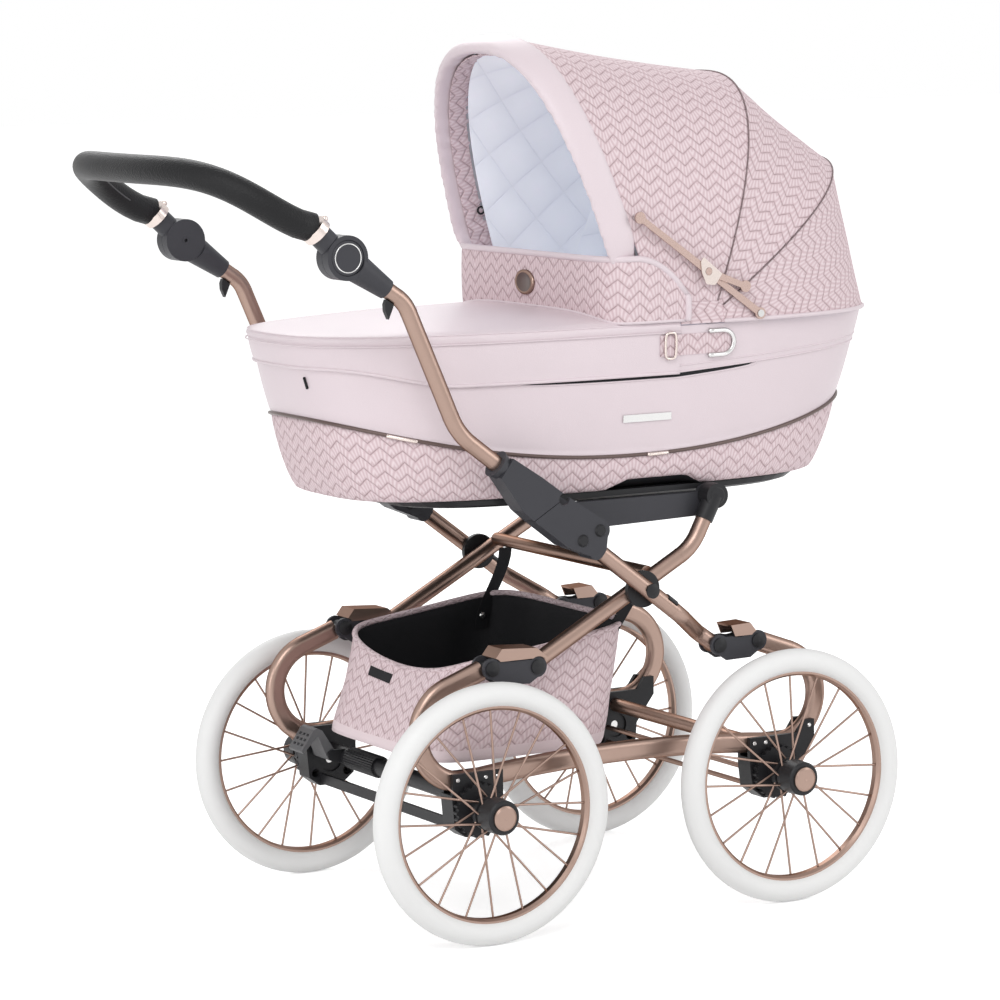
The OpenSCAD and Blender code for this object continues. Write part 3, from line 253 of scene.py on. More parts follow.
def tube(name, path, radius, mat, closed=False, sides=8):
    """Round strip along a path of points."""
    n = len(path)
    faces, uvs, points = [], [], []
    run = 0.0
    last = None
    for i, p in enumerate(path):
        ahead = path[(i + 1) % n] if closed else path[min(i + 1, n - 1)]
        behind = path[i - 1] if closed or i else path[0]
        way = (ahead - behind).normalized()
        side = last or Vector((0.3, 0.2, 0.9)).cross(way)
        side = (side - way * side.dot(way)).normalized()
        last = side
        other = way.cross(side)
        for a in turns(sides):
            points.append(p + (side * math.cos(a) + other * math.sin(a)) * radius)
    for i in range(n if closed else n - 1):
        step = (path[(i + 1) % n] - path[i]).length / 1000
        for k in range(sides):
            a, b = i * sides + k, i * sides + (k + 1) % sides
            c, d = (i + 1) % n * sides + (k + 1) % sides, (i + 1) % n * sides + k
            faces.append([a, b, c, d][::-1])
            low, high = 0.006 * k, 0.006 * (k + 1)
            uvs += [(run, low), (run + step, low), (run + step, high), (run, high)]
        run += step
    if not closed:
        for i, q, turn in ((0, path[0] * 2 - path[1], False), (n - 1, path[-1] * 2 - path[-2], True)):
            tip = len(points)
            aim = (q - path[i]).normalized() * radius * 0.5
            points.append(path[i] + aim)
            for k in range(sides):
                a, b = i * sides + k, i * sides + (k + 1) % sides
                faces.append([a, b, tip] if not turn else [b, a, tip])
                uvs += [(0, 0), (0.004, 0), (0, 0.004)]
    return make(name, points, faces, [mat], uvs)


def bake(piece):
    """Applies the modifiers, so the mesh is final."""
    graph = bpy.context.evaluated_depsgraph_get()
    shape = piece.evaluated_get(graph)
    piece.data = bpy.data.meshes.new_from_object(shape, preserve_all_data_layers=True, depsgraph=graph)
    piece.modifiers.clear()


def puffed(piece, held, most):
    """Blows a padded piece up as cloth. Points where held(p) stay, and no other moves further than most."""
    even = piece.modifiers.new("even", "REMESH")
    even.mode = "VOXEL"
    even.voxel_size = 0.005
    bake(piece)
    rest = [v.co.copy() for v in piece.data.vertices]
    seam = piece.vertex_groups.new(name="seam")
    seam.add([i for i, p in enumerate(rest) if held(p)], 1.0, "REPLACE")
    cloth = piece.modifiers.new("cloth", "CLOTH")
    cloth.settings.vertex_group_mass = "seam"
    cloth.settings.use_pressure = True
    cloth.settings.uniform_pressure_force = 4.0
    cloth.settings.effector_weights.gravity = 0.0
    cloth.settings.tension_stiffness = 8.0
    cloth.settings.compression_stiffness = 8.0
    last = 20
    cloth.point_cache.frame_start, cloth.point_cache.frame_end = 1, last
    for f in range(1, last + 1):
        bpy.context.scene.frame_set(f)
    bake(piece)
    bpy.context.scene.frame_set(1)
    for v, p in zip(piece.data.vertices, rest):
        step = v.co - p
        v.co = p + step * min(1.0, most / max(step.length, 1e-9))
    piece.modifiers.new("round", "SUBSURF").levels = 1
    bake(piece)
    piece.data.polygons.foreach_set("use_smooth", [True] * len(piece.data.polygons))


# Materials
def shader(name, colour, rough, metal=0.0):
    mat = bpy.data.materials.new(name)
    mat.use_nodes = True
    tree = mat.node_tree
    bsdf = tree.nodes["Principled BSDF"]
    bsdf.inputs["Base Color"].default_value = (*colour, 1)
    bsdf.inputs["Roughness"].default_value = rough
    bsdf.inputs["Metallic"].default_value = metal
    return mat, tree, bsdf


def value(tree, socket, v):
    """Sets a socket to a number, or links it to another node."""
    if isinstance(v, (int, float)):
        socket.default_value = v
    else:
        tree.links.new(v, socket)


def calc(tree, op, a, b=0.0, c=0.0):
    node = tree.nodes.new("ShaderNodeMath")
    node.operation = op
    for socket, v in zip(node.inputs, (a, b, c)):
        value(tree, socket, v)
    return node.outputs[0]


def place(tree):
    return tree.nodes.new("ShaderNodeTexCoord").outputs["Object"]


def cloud(tree, scale, detail=2.0):
    """Noise from 0 to 1 over the piece."""
    node = tree.nodes.new("ShaderNodeTexNoise")
    tree.links.new(place(tree), node.inputs["Vector"])
    node.inputs["Scale"].default_value = scale
    node.inputs["Detail"].default_value = detail
    return node.outputs["Fac"]


def cells(tree, scale):
    """Distance to the nearest of many scattered points."""
    node = tree.nodes.new("ShaderNodeTexVoronoi")
    tree.links.new(place(tree), node.inputs["Vector"])
    node.inputs["Scale"].default_value = scale
    return node.outputs["Distance"]


def ramp(tree, fac, low, high):
    """Colour from low to high; low may be the colour of another node."""
    node = tree.nodes.new("ShaderNodeMix")
    node.data_type = "RGBA"
    value(tree, node.inputs[0], fac)
    if isinstance(low, tuple):
        node.inputs[6].default_value = (*low, 1)
    else:
        tree.links.new(low, node.inputs[6])
    node.inputs[7].default_value = (*high, 1)
    return node.outputs[2]


def span(tree, v, low, high):
    """Smooth step of v between low and high."""
    node = tree.nodes.new("ShaderNodeMapRange")
    node.interpolation_type = "SMOOTHSTEP"
    value(tree, node.inputs["Value"], v)
    node.inputs["From Min"].default_value = low
    node.inputs["From Max"].default_value = high
    return node.outputs["Result"]


def bump(tree, bsdf, height, distance, strength=1.0):
    node = tree.nodes.new("ShaderNodeBump")
    node.inputs["Strength"].default_value = strength
    node.inputs["Distance"].default_value = distance
    tree.links.new(height, node.inputs["Height"])
    tree.links.new(node.outputs["Normal"], bsdf.inputs["Normal"])


def tint(colour, f):
    return tuple(clamp(c * f) for c in colour)


def grained(name, colour, rough, metal=0.0, grain=600, depth=0.0002, change=0.06):
    """Surface with fine grain and a slight change of colour."""
    mat, tree, bsdf = shader(name, colour, rough, metal)
    tone = ramp(tree, cloud(tree, 14, 3), tint(colour, 1 - change), tint(colour, 1 + change))
    tree.links.new(tone, bsdf.inputs["Base Color"])
    fine = cloud(tree, grain, 2)
    tree.links.new(calc(tree, "MULTIPLY_ADD", fine, 0.08, rough - 0.04), bsdf.inputs["Roughness"])
    if depth:
        bump(tree, bsdf, fine, depth)
    return mat


def pebbled(name, colour, rough, scale, depth):
    """Leather with pebble grain; its colour changes at random and is darker in the pits of the grain,
    painted shade there.
    """
    mat, tree, bsdf = shader(name, colour, rough)
    dip = cells(tree, scale)
    # Random change of tone, plus painted shade: the colour darkens where the grain's bump is low.
    tone = calc(tree, "MULTIPLY_ADD", cloud(tree, 9, 3), 0.6, calc(tree, "MULTIPLY", dip, 0.35))
    tree.links.new(ramp(tree, tone, tint(colour, 0.94), tint(colour, 1.05)), bsdf.inputs["Base Color"])
    bump(tree, bsdf, dip, depth)
    return mat


def cut_uv(tree):
    """Lengths along and across the cloth, in metres."""
    node = tree.nodes.new("ShaderNodeUVMap")
    node.uv_map = "cut"
    parts = tree.nodes.new("ShaderNodeSeparateXYZ")
    tree.links.new(node.outputs["UV"], parts.inputs[0])
    return parts.outputs["X"], parts.outputs["Y"]


def chevron(name, turned=False, wave=0.031, pitch=0.0165, reach=0.013, rib=0.0046):
    """Knit cloth: thin dark zigzag lines along it, with raised leaves fanned out between them. The dark
    lines are painted shade in the grooves between the rows, and the troughs between the ribs are painted
    darker as shade too.
    """
    mat, tree, bsdf = shader(name, KNIT, 0.68)
    u, v = cut_uv(tree)
    if turned:
        u, v = v, u
    saw = calc(tree, "FRACT", calc(tree, "DIVIDE", u, wave))
    side = calc(tree, "ABSOLUTE", calc(tree, "MULTIPLY_ADD", saw, 2.0, -1.0))
    sway = calc(tree, "MULTIPLY", calc(tree, "SUBTRACT", cloud(tree, 60, 1), 0.5), 0.2)
    step = calc(tree, "MULTIPLY_ADD", side, reach / pitch, calc(tree, "DIVIDE", v, pitch))
    row = calc(tree, "FRACT", calc(tree, "ADD", step, sway))
    edge = calc(tree, "MINIMUM", row, calc(tree, "SUBTRACT", 1.0, row))
    fan = calc(tree, "MULTIPLY", side, calc(tree, "MULTIPLY_ADD", row, -0.45, 1.2))
    ribs = calc(tree, "COSINE", calc(tree, "MULTIPLY", fan, math.pi * wave / rib))
    ribs = calc(tree, "MULTIPLY_ADD", ribs, 0.5, 0.5)
    leaf = span(tree, edge, 0.0, 0.22)
    # Painted shade: the knit darkens in the troughs between the ribs and at the edges of the leaves, where
    # the bump is low.
    tone = ramp(tree, calc(tree, "MULTIPLY", ribs, leaf), KNIT_SHADE, KNIT)
    # Painted shade: near-dark lines in the grooves between the rows, stronger in some places than others at
    # random.
    line = calc(tree, "SUBTRACT", 1.0, span(tree, edge, 0.02, 0.075))
    patchy_shade = calc(tree, "MULTIPLY_ADD", cloud(tree, 140, 1), 0.9, 0.1)
    tone = ramp(tree, calc(tree, "MULTIPLY", line, patchy_shade), tone, KNIT_GROOVE_SHADE)
    tree.links.new(tone, bsdf.inputs["Base Color"])
    bump(tree, bsdf, calc(tree, "MULTIPLY_ADD", ribs, 0.35, leaf), 0.0011, 0.7)
    return mat


def stitched(name, cloth, yarn, length=0.0055):
    """Seam with a row of short stitches."""
    mat, tree, bsdf = shader(name, cloth, 0.65)
    along = cut_uv(tree)[0]
    saw = calc(tree, "FRACT", calc(tree, "DIVIDE", along, length))
    dash = span(tree, calc(tree, "ABSOLUTE", calc(tree, "SUBTRACT", saw, 0.5)), 0.38, 0.28)
    tree.links.new(ramp(tree, dash, cloth, yarn), bsdf.inputs["Base Color"])
    bump(tree, bsdf, dash, 0.0006)
    return mat


def quilt(name, colour, size=0.085):
    """Lining stitched in diamonds, painted darker along the stitch lines as shade, and glowing faintly as
    painted light.
    """
    mat, tree, bsdf = shader(name, colour, 0.7)
    u, v = cut_uv(tree)
    lines = []
    for way in ("ADD", "SUBTRACT"):
        cell = calc(tree, "FRACT", calc(tree, "DIVIDE", calc(tree, way, u, v), size))
        near = calc(tree, "MINIMUM", cell, calc(tree, "SUBTRACT", 1.0, cell))
        lines.append(calc(tree, "MULTIPLY", near, 2.0))
    puff = calc(tree, "POWER", calc(tree, "MULTIPLY", lines[0], lines[1]), 0.3)
    # Painted shade: the colour darkens towards the stitch lines, where the puffed cloth dips.
    tone = ramp(tree, puff, tint(colour, 0.90), tint(colour, 1.02))
    tree.links.new(tone, bsdf.inputs["Base Color"])
    bump(tree, bsdf, puff, 0.004, 0.5)
    # Painted light: a faint glow in the lining's own colour stands in for light coming through the thin
    # cloth; the lining is no lamp.
    tree.links.new(tone, bsdf.inputs["Emission Color"])
    bsdf.inputs["Emission Strength"].default_value = 0.13
    return mat


PINK = (0.715, 0.618, 0.654)
KNIT = (0.765, 0.640, 0.668)
# Tones of the knit in painted shade: in the troughs between the ribs, and darker in the grooves between the
# rows.
KNIT_SHADE = (0.620, 0.470, 0.500)
KNIT_GROOVE_SHADE = (0.270, 0.180, 0.185)
LINING = (0.860, 0.885, 0.945)
BRONZE = (0.355, 0.250, 0.208)

leather = pebbled("pink_leatherette", PINK, 0.42, 900, 0.00012)
knit = chevron("knit_fabric")
hood_knit = chevron("hood_knit", turned=True)
lining = quilt("white_fabric", LINING)
piping = grained("bronze_piping", (0.115, 0.078, 0.070), 0.35, 0.35, 500, 0.0001)
dark_cloth = grained("dark_fabric", (0.012, 0.012, 0.014), 0.75, 0.0, 900, 0.0003, 0.25)
plain_cloth = grained("plain_cloth", KNIT, 0.7, 0.0, 900, 0.0003)
# The seam's cloth is painted in the knit's shaded tone, painted shade along the seams.
thread = stitched("seam_thread", KNIT_SHADE, (0.150, 0.100, 0.100))
steel = grained("steel", (0.62, 0.615, 0.61), 0.25, 1.0, 300, 0.0)
bronze = grained("bronze_metal", BRONZE, 0.32, 0.95, 260, 0.0, 0.03)
bronze.node_tree.nodes["Principled BSDF"].inputs["Specular Tint"].default_value = (0.22, 0.14, 0.11, 1)
rose = grained("rose_metal", (0.68, 0.595, 0.555), 0.25, 0.95, 300, 0.0)
iron_metal = grained("iron_metal", (0.50, 0.37, 0.33), 0.27, 0.95, 300, 0.0)
stitch = grained("grip_stitch", (0.060, 0.060, 0.064), 0.6, 0.0, 800, 0.0002)
pedal_grey = grained("pedal_grey", (0.115, 0.115, 0.120), 0.5, 0.0, 900, 0.00012, 0.08)
grip_leather = pebbled("grip_leather", (0.0075, 0.0075, 0.0085), 0.46, 420, 0.0005)
slots = {
    "bronze_metal": bronze,
    "rose_metal": rose,
    "steel": steel,
    "grip_leather": grip_leather,
    "dark_fabric": dark_cloth,
    "pink_leatherette": leather,
    "charcoal_plastic": grained("charcoal_plastic", (0.043, 0.043, 0.050), 0.46, 0.0, 900, 0.00012, 0.08),
    "black_plastic": grained("black_plastic", (0.018, 0.018, 0.020), 0.42, 0.0, 900, 0.00012, 0.15),
    "tyre_rubber": grained("tyre_rubber", (0.79, 0.79, 0.785), 0.55, 0.0, 700, 0.0001, 0.02),
}
for dull in (grip_leather, dark_cloth, pedal_grey, slots["charcoal_plastic"], slots["black_plastic"]):
    dull.node_tree.nodes["Principled BSDF"].inputs["Specular IOR Level"].default_value = 0.25


def dress(piece, body, slot, *stands_for):
    """Sets a piece on its body and hides the nodes that it replaces; slot is not used."""
    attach(piece, body)
    if stands_for:
        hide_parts(*stands_for)
    return piece


def repaint():
    """Gives each CAD node its finish by the name of its slot."""
    for node in nodes.values():
        for s in node.material_slots:
            name = s.material.name.split(".")[0] if s.material else ""
            if name in slots:
                s.material = slots[name]
    nodes["brake_pedal"].material_slots[0].material = pedal_grey
    for name in ("upper_irons", "lower_irons"):
        nodes[name].material_slots[0].material = iron_metal


# Cot
def cot_oval(z):
    """Middle, half length, half width and roundness of the cot at a height."""
    f = clamp((z - COT_Z0) / COT_H, 0, 1.2)
    return lerp(24, 36, f), lerp(367, 450, f**0.85), lerp(190, 208, f**0.55), lerp(3.3, 2.8, f)


def cot_point(z, off, t):
    """Place on the wall of the cot at angle t, set in by off."""
    x0, a, b, n = cot_oval(z)
    return Vector((*oval(x0, a - off, b - off, n, t), z))


cot_angles = even_angles(lambda t: cot_point(RIM_Z, 0, t), 0, 360, SEG)[:-1]


def piping_z(x):
    return 624 + 3.6e-4 * (x - 36) ** 2


def hem_z(x):
    """Lower edge of the cover, cut up in an arch at the middle of each side."""
    return 580 + 13 * smooth((82 - abs(x - 76)) / 40)


def cot_row(f, off, low, high):
    """Ring between two heights that change along the cot."""
    row = []
    for t in cot_angles:
        x = cot_point(680, 0, t).x
        z = lerp(low(x), high(x), f)
        row.append(cot_point(z, off, t))
    return row


def cot_cover():
    """Padded cover: knit band, smooth wall, rolled rim and quilted inside."""
    base = lambda x: 577.6
    rim = lambda x: RIM_Z - 4
    rows = [cot_row(0, off, base, base) for off in (60, 26)]
    rows.append(cot_row(0, 6, hem_z, hem_z))
    rows[-1] = [Vector((p.x, p.y, max(p.z - 2.2, 577.6))) for p in rows[-1]]
    below = len(rows)
    for k in range(13):
        f = k / 12
        rows.append(cot_row(f, 1.6 - 3.0 * math.sin(math.pi * f) ** 0.6, hem_z, piping_z))
    band = len(rows)
    for k in range(17):
        f = k / 16
        rows.append(cot_row(f, 1.6 - 2.4 * math.sin(math.pi * f) ** 0.5, piping_z, rim))
    for off, z in ((1.2, -1.4), (3.0, -0.3), (5.0, -1.0)):
        rows.append([cot_point(RIM_Z + z, off, t) for t in cot_angles])
    top = len(rows)
    for z in (785, 760, 730, 700, 670, 640, 612, 592):
        rows.append([cot_point(z, 7.4, t) for t in cot_angles])
    rows.append([cot_point(588, 30, t) for t in cot_angles])
    bands = lambda i: 3 if i < below - 1 else 0 if i < band else 1 if i < top else 2
    piece = rings("cot_cover", rows, [knit, leather, lining, dark_cloth], bands)
    dress(piece, "cot", "pink_leatherette", "cot_shell")
    line = cot_row(0, -0.6, piping_z, piping_z)
    dress(tube("cot_piping", line, 2.5, piping, closed=True), "cot", "bronze_metal")


cot_cover()


def wall(x, z, out, side):
    """Place on the side of the cot, out from its wall."""
    x0, a, b, n = cot_oval(z)
    y = b * (1 - min(1, abs(x - x0) / a) ** n) ** (1 / n)
    return Vector((x, side * (y + out), z))


def wall_strip(name, side, ends, low, high, out, thick, mats):
    """Flat strip on the side of the cot between two heights."""
    rows = []
    for k in range(5):
        row = []
        for j in range(49):
            x = lerp(*ends, j / 48)
            row.append(wall(x, lerp(low(x), high(x), k / 4), out(x), side))
        rows.append(row)
    return shell(name, rows, thick, mats, flip=side > 0)


def band_low(x):
    """Lower edge of the smooth band round the head end."""
    return 732 + 0.055 * (x - APRON_X)


def slit_top(x):
    """Upper edge of the zip slit, under the apron and the band."""
    return skirt_z(x) if x < APRON_X else band_low(x)


SLIT_ENDS = (-151, 221)


def slit_gap(x):
    start, end = SLIT_ENDS
    return 6.0 * math.sin(math.pi * clamp((x - start) / (end - start))) ** 0.3


def head_band():
    """Smooth band round the head end, hemmed twice."""
    angles = even_angles(lambda t: cot_point(RIM_Z, 0, t), -86.8, 86.8, 110)
    rows = []
    for k in range(9):
        f = k / 8
        row = []
        for t in angles:
            x = cot_point(RIM_Z, 0, t).x
            row.append(cot_point(lerp(band_low(x), RIM_Z - 1, f), -1.3 - 0.6 * math.sin(math.pi * f), t))
        rows.append(row)
    piece = shell("head_band", rows, 1.0, [leather, lining])
    dress(piece, "cot", "pink_leatherette")
    hems = []
    for up in (0.5, 9.0):
        path = []
        for t in angles:
            z = band_low(cot_point(RIM_Z, 0, t).x) + up
            path.append(cot_point(z, -1.5, t))
        hems.append(dress(tube(f"head_hem_{len(hems)}", path, 1.1, leather), "cot", "pink_leatherette"))


def cot_slits():
    """Zip slit under the band on each side, a near-black strip of painted shadow in its opening, with a
    welt below it.
    """
    for name, side in SIDES:
        low = lambda x: slit_top(x) - slit_gap(x)
        high = lambda x: slit_top(x) + 2
        out = lambda x: 1.0
        # Painted shadow: the dark strip fills the slit's opening, where only shade falls.
        slit = wall_strip(f"cot_slit_{name}", side, SLIT_ENDS, low, high, out, 0.6, [dark_cloth] * 2)
        dress(slit, "cot", "dark_fabric")
        start, end = SLIT_ENDS
        along = [lerp(start - 5, end + 5, k / 60) for k in range(61)]
        path = [wall(x, low(x) - 1.2, 1.0, side) for x in along]
        dress(tube(f"cot_welt_{name}", path, 1.3, leather), "cot", "pink_leatherette")


def cot_straps():
    """Knit strap on each side, through a ring and with a bow-shaped buckle at its end."""
    for name, side in SIDES:
        out = lambda x: lerp(6.6, 3.0, smooth((x - 92) / 12))
        mid, half = 769.5, 14
        low, high = lambda x: mid - half, lambda x: mid + half
        strap = wall_strip(f"cot_strap_{name}", side, (64, 180), low, high, out, 1.2, [knit, leather])
        dress(strap, "cot", "knit_fabric")
        path = []
        for a in turns(40):
            x, z = oval(79, 8.5, 17.5, 4, math.degrees(a))
            path.append(wall(x, mid + z, 8.6, side))
        ring = dress(tube(f"strap_ring_{name}", path, 1.9, rose, closed=True), "cot", "steel")
        bow_r, bow_out = 16.5, 4.6
        path = [wall(x, mid + bow_r, bow_out, side) for x in (143, 150, 157)]
        for k in range(13):
            a = math.radians(lerp(90, -90, k / 12))
            path.append(wall(165 + 19 * math.cos(a), mid + bow_r * math.sin(a), bow_out, side))
        path += [wall(x, mid - bow_r, bow_out, side) for x in (157, 150, 143)]
        bow = dress(tube(f"strap_bow_{name}", path, 3.4, steel), "cot", "steel")
        for p in (ring, bow):
            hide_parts("strap_buckles")


def cot_plates():
    """Bare plate on the near side, zip pulls on the piping and at the foot end."""
    low, high = lambda x: 669.0, lambda x: 679.0
    plate = wall_strip("cot_plate", -1, (10, 86), low, high, lambda x: 2.4, 1.0, [steel, steel])
    dress(plate, "cot", "steel")
    for name, x0, x1 in (("foot", -320, -285), ("head", 50, 82)):
        path = [wall(x, piping_z(x) - 0.5, 3.2, -1) for x in (lerp(x0, x1, k / 8) for k in range(9))]
        dress(tube(f"zip_pull_{name}", path, 2.6, rose), "cot", "rose_metal")
    path = [cot_point(lerp(729, 744, k / 4), -2.4, 190.7) for k in range(5)]
    dress(tube("foot_tab", path, 1.8, dark_cloth), "cot", "dark_fabric")


# Apron over the foot end
apron_angles = even_angles(lambda t: cot_point(RIM_Z, 0, t), 86.6, 273.4, 120)


def lid_share(x, y):
    """How far out towards the rim a point of the apron lies, 0 to 1."""
    low, high = 1.0, 60.0
    for _ in range(40):
        s = (low + high) / 2
        px, py = APRON_X + (x - APRON_X) * s, y * s
        inside = abs((px - 36) / 454) ** 2.8 + abs(py / 212) ** 2.8 < 1
        low, high = (s, high) if inside else (low, s)
    return 1 / low


def lid_z(k):
    """Height of the apron's top, which sags from the flap to the rim."""
    return RIM_Z + 4 + 15 * (1 - k**4)


def skirt_z(x):
    """Lower edge of the apron's skirt, higher at the foot end."""
    return 732 + 25 * smooth((-x - 230) / 170)


def apron():
    """Smooth cover over the foot end: skirt, rounded edge and top."""
    rows = []
    for k in range(9):
        f = k / 8
        row = []
        for t in apron_angles:
            x = cot_point(RIM_Z, 0, t).x
            z = lerp(skirt_z(x), RIM_Z - 6, f)
            p = cot_point(z, -4.0 - 1.2 * math.sin(math.pi * f) - wobble((x, t, z), 60, 0.8), t)
            row.append(Vector((min(p.x, APRON_X), p.y, p.z)))
        rows.append(row)
    for off, z in ((-5.0, -2.0), (-4.4, 1.2), (-2.6, 3.4), (0.6, 4.6)):
        row = [cot_point(RIM_Z, off, t) for t in apron_angles]
        rows.append([Vector((min(p.x, APRON_X), p.y, RIM_Z + z)) for p in row])
    for k in (0.97, 0.93, 0.87, 0.8, 0.72, 0.64, 0.55, 0.45, 0.35, 0.25, 0.15, 0.05):
        row = []
        for t in apron_angles:
            p = cot_point(RIM_Z, -4.2, t)
            x, y = lerp(APRON_X, min(p.x, APRON_X), k), p.y * k
            row.append(Vector((x, y, lid_z(k) + 0.8 + wobble((x, y, 0), 90, 1.2))))
        rows.append(row)
    piece = shell("apron_cover", rows, 2.4, [leather, lining])
    dress(piece, "cot", "pink_leatherette", "apron")
    seams = []
    for off, z in ((-6.0, -9.0), (-3.2, 3.4)):
        seam = [cot_point(RIM_Z, off, t) for t in apron_angles]
        path = [Vector((min(p.x, APRON_X), p.y, RIM_Z + z)) for p in seam]
        seams.append(dress(tube(f"apron_seam_{len(seams)}", path, 0.9, leather), "cot", "pink_leatherette"))
    hem = [cot_point(skirt_z(cot_point(RIM_Z, 0, t).x), -3.6, t) for t in apron_angles]
    hem = [Vector((min(p.x, APRON_X), p.y, p.z)) for p in hem]
    seams.append(dress(tube("apron_hem", hem, 2.4, leather), "cot", "pink_leatherette"))


apron()
head_band()
cot_slits()
cot_straps()
cot_plates()


# Upright wind flap between the apron and the hood
flap_angles = even_angles(lambda t: oval(FLAP_X, 122, 213, 8, t), 90, 270, 150)


FLAP_FOOT = 803.0


def flap_low(x, y):
    return lid_z(lid_share(x, y)) + 1.6 if abs(y) < 207 else FLAP_FOOT


def flap_top(x):
    return 888 - 52 * max(0, (x - FLAP_X + 84) / 84) ** 2.2


def flap():
    """Bound knit flap that stands across the cot and runs back along its sides."""
    rows, n = [], 12
    for k in range(n + 1):
        row = []
        for t in flap_angles:
            x, y = oval(FLAP_X, 124.5, 215.5, 8, t)
            z = lerp(max(flap_low(x, y), FLAP_FOOT), flap_top(x), k / n)
            puff = 1.5 * math.sin(math.pi * k / n) ** 0.5
            x, y = oval(FLAP_X, 124.5 + puff, 215.5 + puff, 8, t)
            row.append(Vector((min(x, FLAP_X), y, z)))
        rows.append(row)
    piece = shell("flap_cover", rows, 4.2, [knit, leather])
    dress(piece, "cot", "knit_fabric", "flap")
    last, first = rows[-1], rows[0]
    inward = lambda p: (Vector((FLAP_X, 0, p.z)) - p).normalized() * 1.8
    edge = [p + inward(p) for p in last]
    bind = dress(tube("flap_binding", edge, 4.6, leather, sides=10), "cot", "pink_leatherette")
    foot = dress(tube("flap_foot", [p + inward(p) for p in first], 2.6, leather), "cot", "pink_leatherette")
    for side, j in (("left", 0), ("right", len(flap_angles) - 1)):
        strip = tube(f"flap_end_{side}", [r[j] for r in rows], 4.6, leather, sides=10)
        dress(strip, "cot", "pink_leatherette")


def badge():
    """Bare oval plate on the flap."""
    x, z = -21.2, 848.0
    rows = []
    for share, out in ((0.02, 1.4), (0.72, 1.4), (0.78, 2.4), (0.92, 2.6), (1.0, 1.4), (1.0, -1.0)):
        oval_at = lambda a: (x - out, 25 * share * math.cos(a), z + 17 * share * math.sin(a))
        rows.append([Vector(oval_at(a)) for a in turns(48)])
    dress(rings("flap_badge", rows, [piping, bronze], lambda i: 0 if i < 2 else 1), "cot", "bronze_metal")


flap()
badge()


# Hood
ARCH_N = 2.6
HOOD_X, HOOD_Z = 150, 810
# Each arch: x and z of its foot, lean in degrees and reach
front_arch = (58, HOOD_Z, 107, 388)
mid_arch = (HOOD_X, HOOD_Z, 70, 340)
rear_arch = (HOOD_X, HOOD_Z, 35, 346)
base_arch = (HOOD_X, 798.6, 0, 338)


def arch(bow, t, inside=0.0, side=None):
    """Point of a hood arch at angle t, set in by a thickness."""
    ox, oz, angle, radius = bow
    c, s = math.cos(math.radians(t)), max(0, math.sin(math.radians(t)))
    q = (radius - inside) * s ** (2 / ARCH_N)
    b = HOOD_B - (inside if side is None else side)
    a = math.radians(angle)
    return Vector((ox + q * math.cos(a), b * signed_pow(c, 2 / ARCH_N), oz + q * math.sin(a)))


arch_angles = even_angles(lambda t: arch(mid_arch, t), 1.2, 178.8, 132)


def panel_rows(a, b, steps, sag, start=0.0, inside=0.0, side=None, angles=None):
    """Rows from arch a to arch b; sag draws the cloth in between them."""
    rows = []
    for i in range(steps + 1):
        k = lerp(start, 1.0, i / steps)
        row = []
        for t in angles or arch_angles:
            p = arch(a, t, inside, side).lerp(arch(b, t, inside, side), k)
            ox, oz = lerp(a[0], b[0], k), lerp(a[1], b[1], k)
            out = Vector((p.x - ox, p.y * 0.6, p.z - oz))
            lift = sag * math.sin(math.pi * k) * math.sin(math.radians(t)) ** 0.7
            lift += wobble(p, 70, 0.9) * math.sin(math.pi * k)
            row.append(p - out.normalized() * lift)
        rows.append(row)
    return rows


def bent(piece, a, b, start, end):
    """Bakes the cloth's placement into its mesh. Bodies a and b and the side-view places start and end are
    not used.
    """
    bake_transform(piece)


def across(angle, reach):
    """Two places on either side of a plane through the hood pivot."""
    a = math.radians(angle)
    cx, cz = HOOD_X + 250 * math.cos(a), HOOD_Z + 250 * math.sin(a)
    n = (-math.sin(a) * reach, math.cos(a) * reach)
    return (cx - n[0], cz - n[1]), (cx + n[0], cz + n[1])


def hood_cloth():
    """The three panels, each with a lining that keeps clear of its bows."""
    panels = (
        ("front", front_arch, mid_arch, 4.0, (0.33, 1.04)),
        ("mid", mid_arch, rear_arch, 3.0, (0.21, 1.02)),
        ("rear", rear_arch, base_arch, 1.0, (0.21, 1.02)),
    )
    inner = [t for t in arch_angles if 1.9 < t < 178.1]
    for name, a, b, sag, flat in panels:
        rows = panel_rows(a, b, 18, sag, 0.004)
        piece = shell(f"hood_{name}_cloth", rows, 2.6, [hood_knit, lining])
        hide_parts(f"{name}_panel")
        inside = panel_rows(a, b, 14, sag, 0.0, 15.0, 24.0, inner)
        liner = shell(f"hood_{name}_lining", inside, 1.4, [lining, lining])
        for p in (piece, liner):
            if name == "front":
                bent(p, "hood_mid", "hood_front", (205, 900), (45, 900))
            elif name == "mid":
                bent(p, "hood_rear", "hood_mid", *across(52.5, 60))
            else:
                bent(p, "cot", "hood_rear", *across(17.5, 60))


hood_cloth()


def hood_corners():
    """Cloth under the feet of the panels, down to the rim of the cot."""
    for name, side in SIDES:
        rows = []
        for k in range(5):
            x = [lerp(98, 171, j / 12) for j in range(13)]
            rows.append([Vector((v, side * 210.8, lerp(796.6, 831, k / 4))) for v in x])
        piece = shell(f"hood_corner_{name}", rows, 1.4, [hood_knit, lining], flip=side > 0)
        dress(piece, "cot", "knit_fabric")


hood_corners()


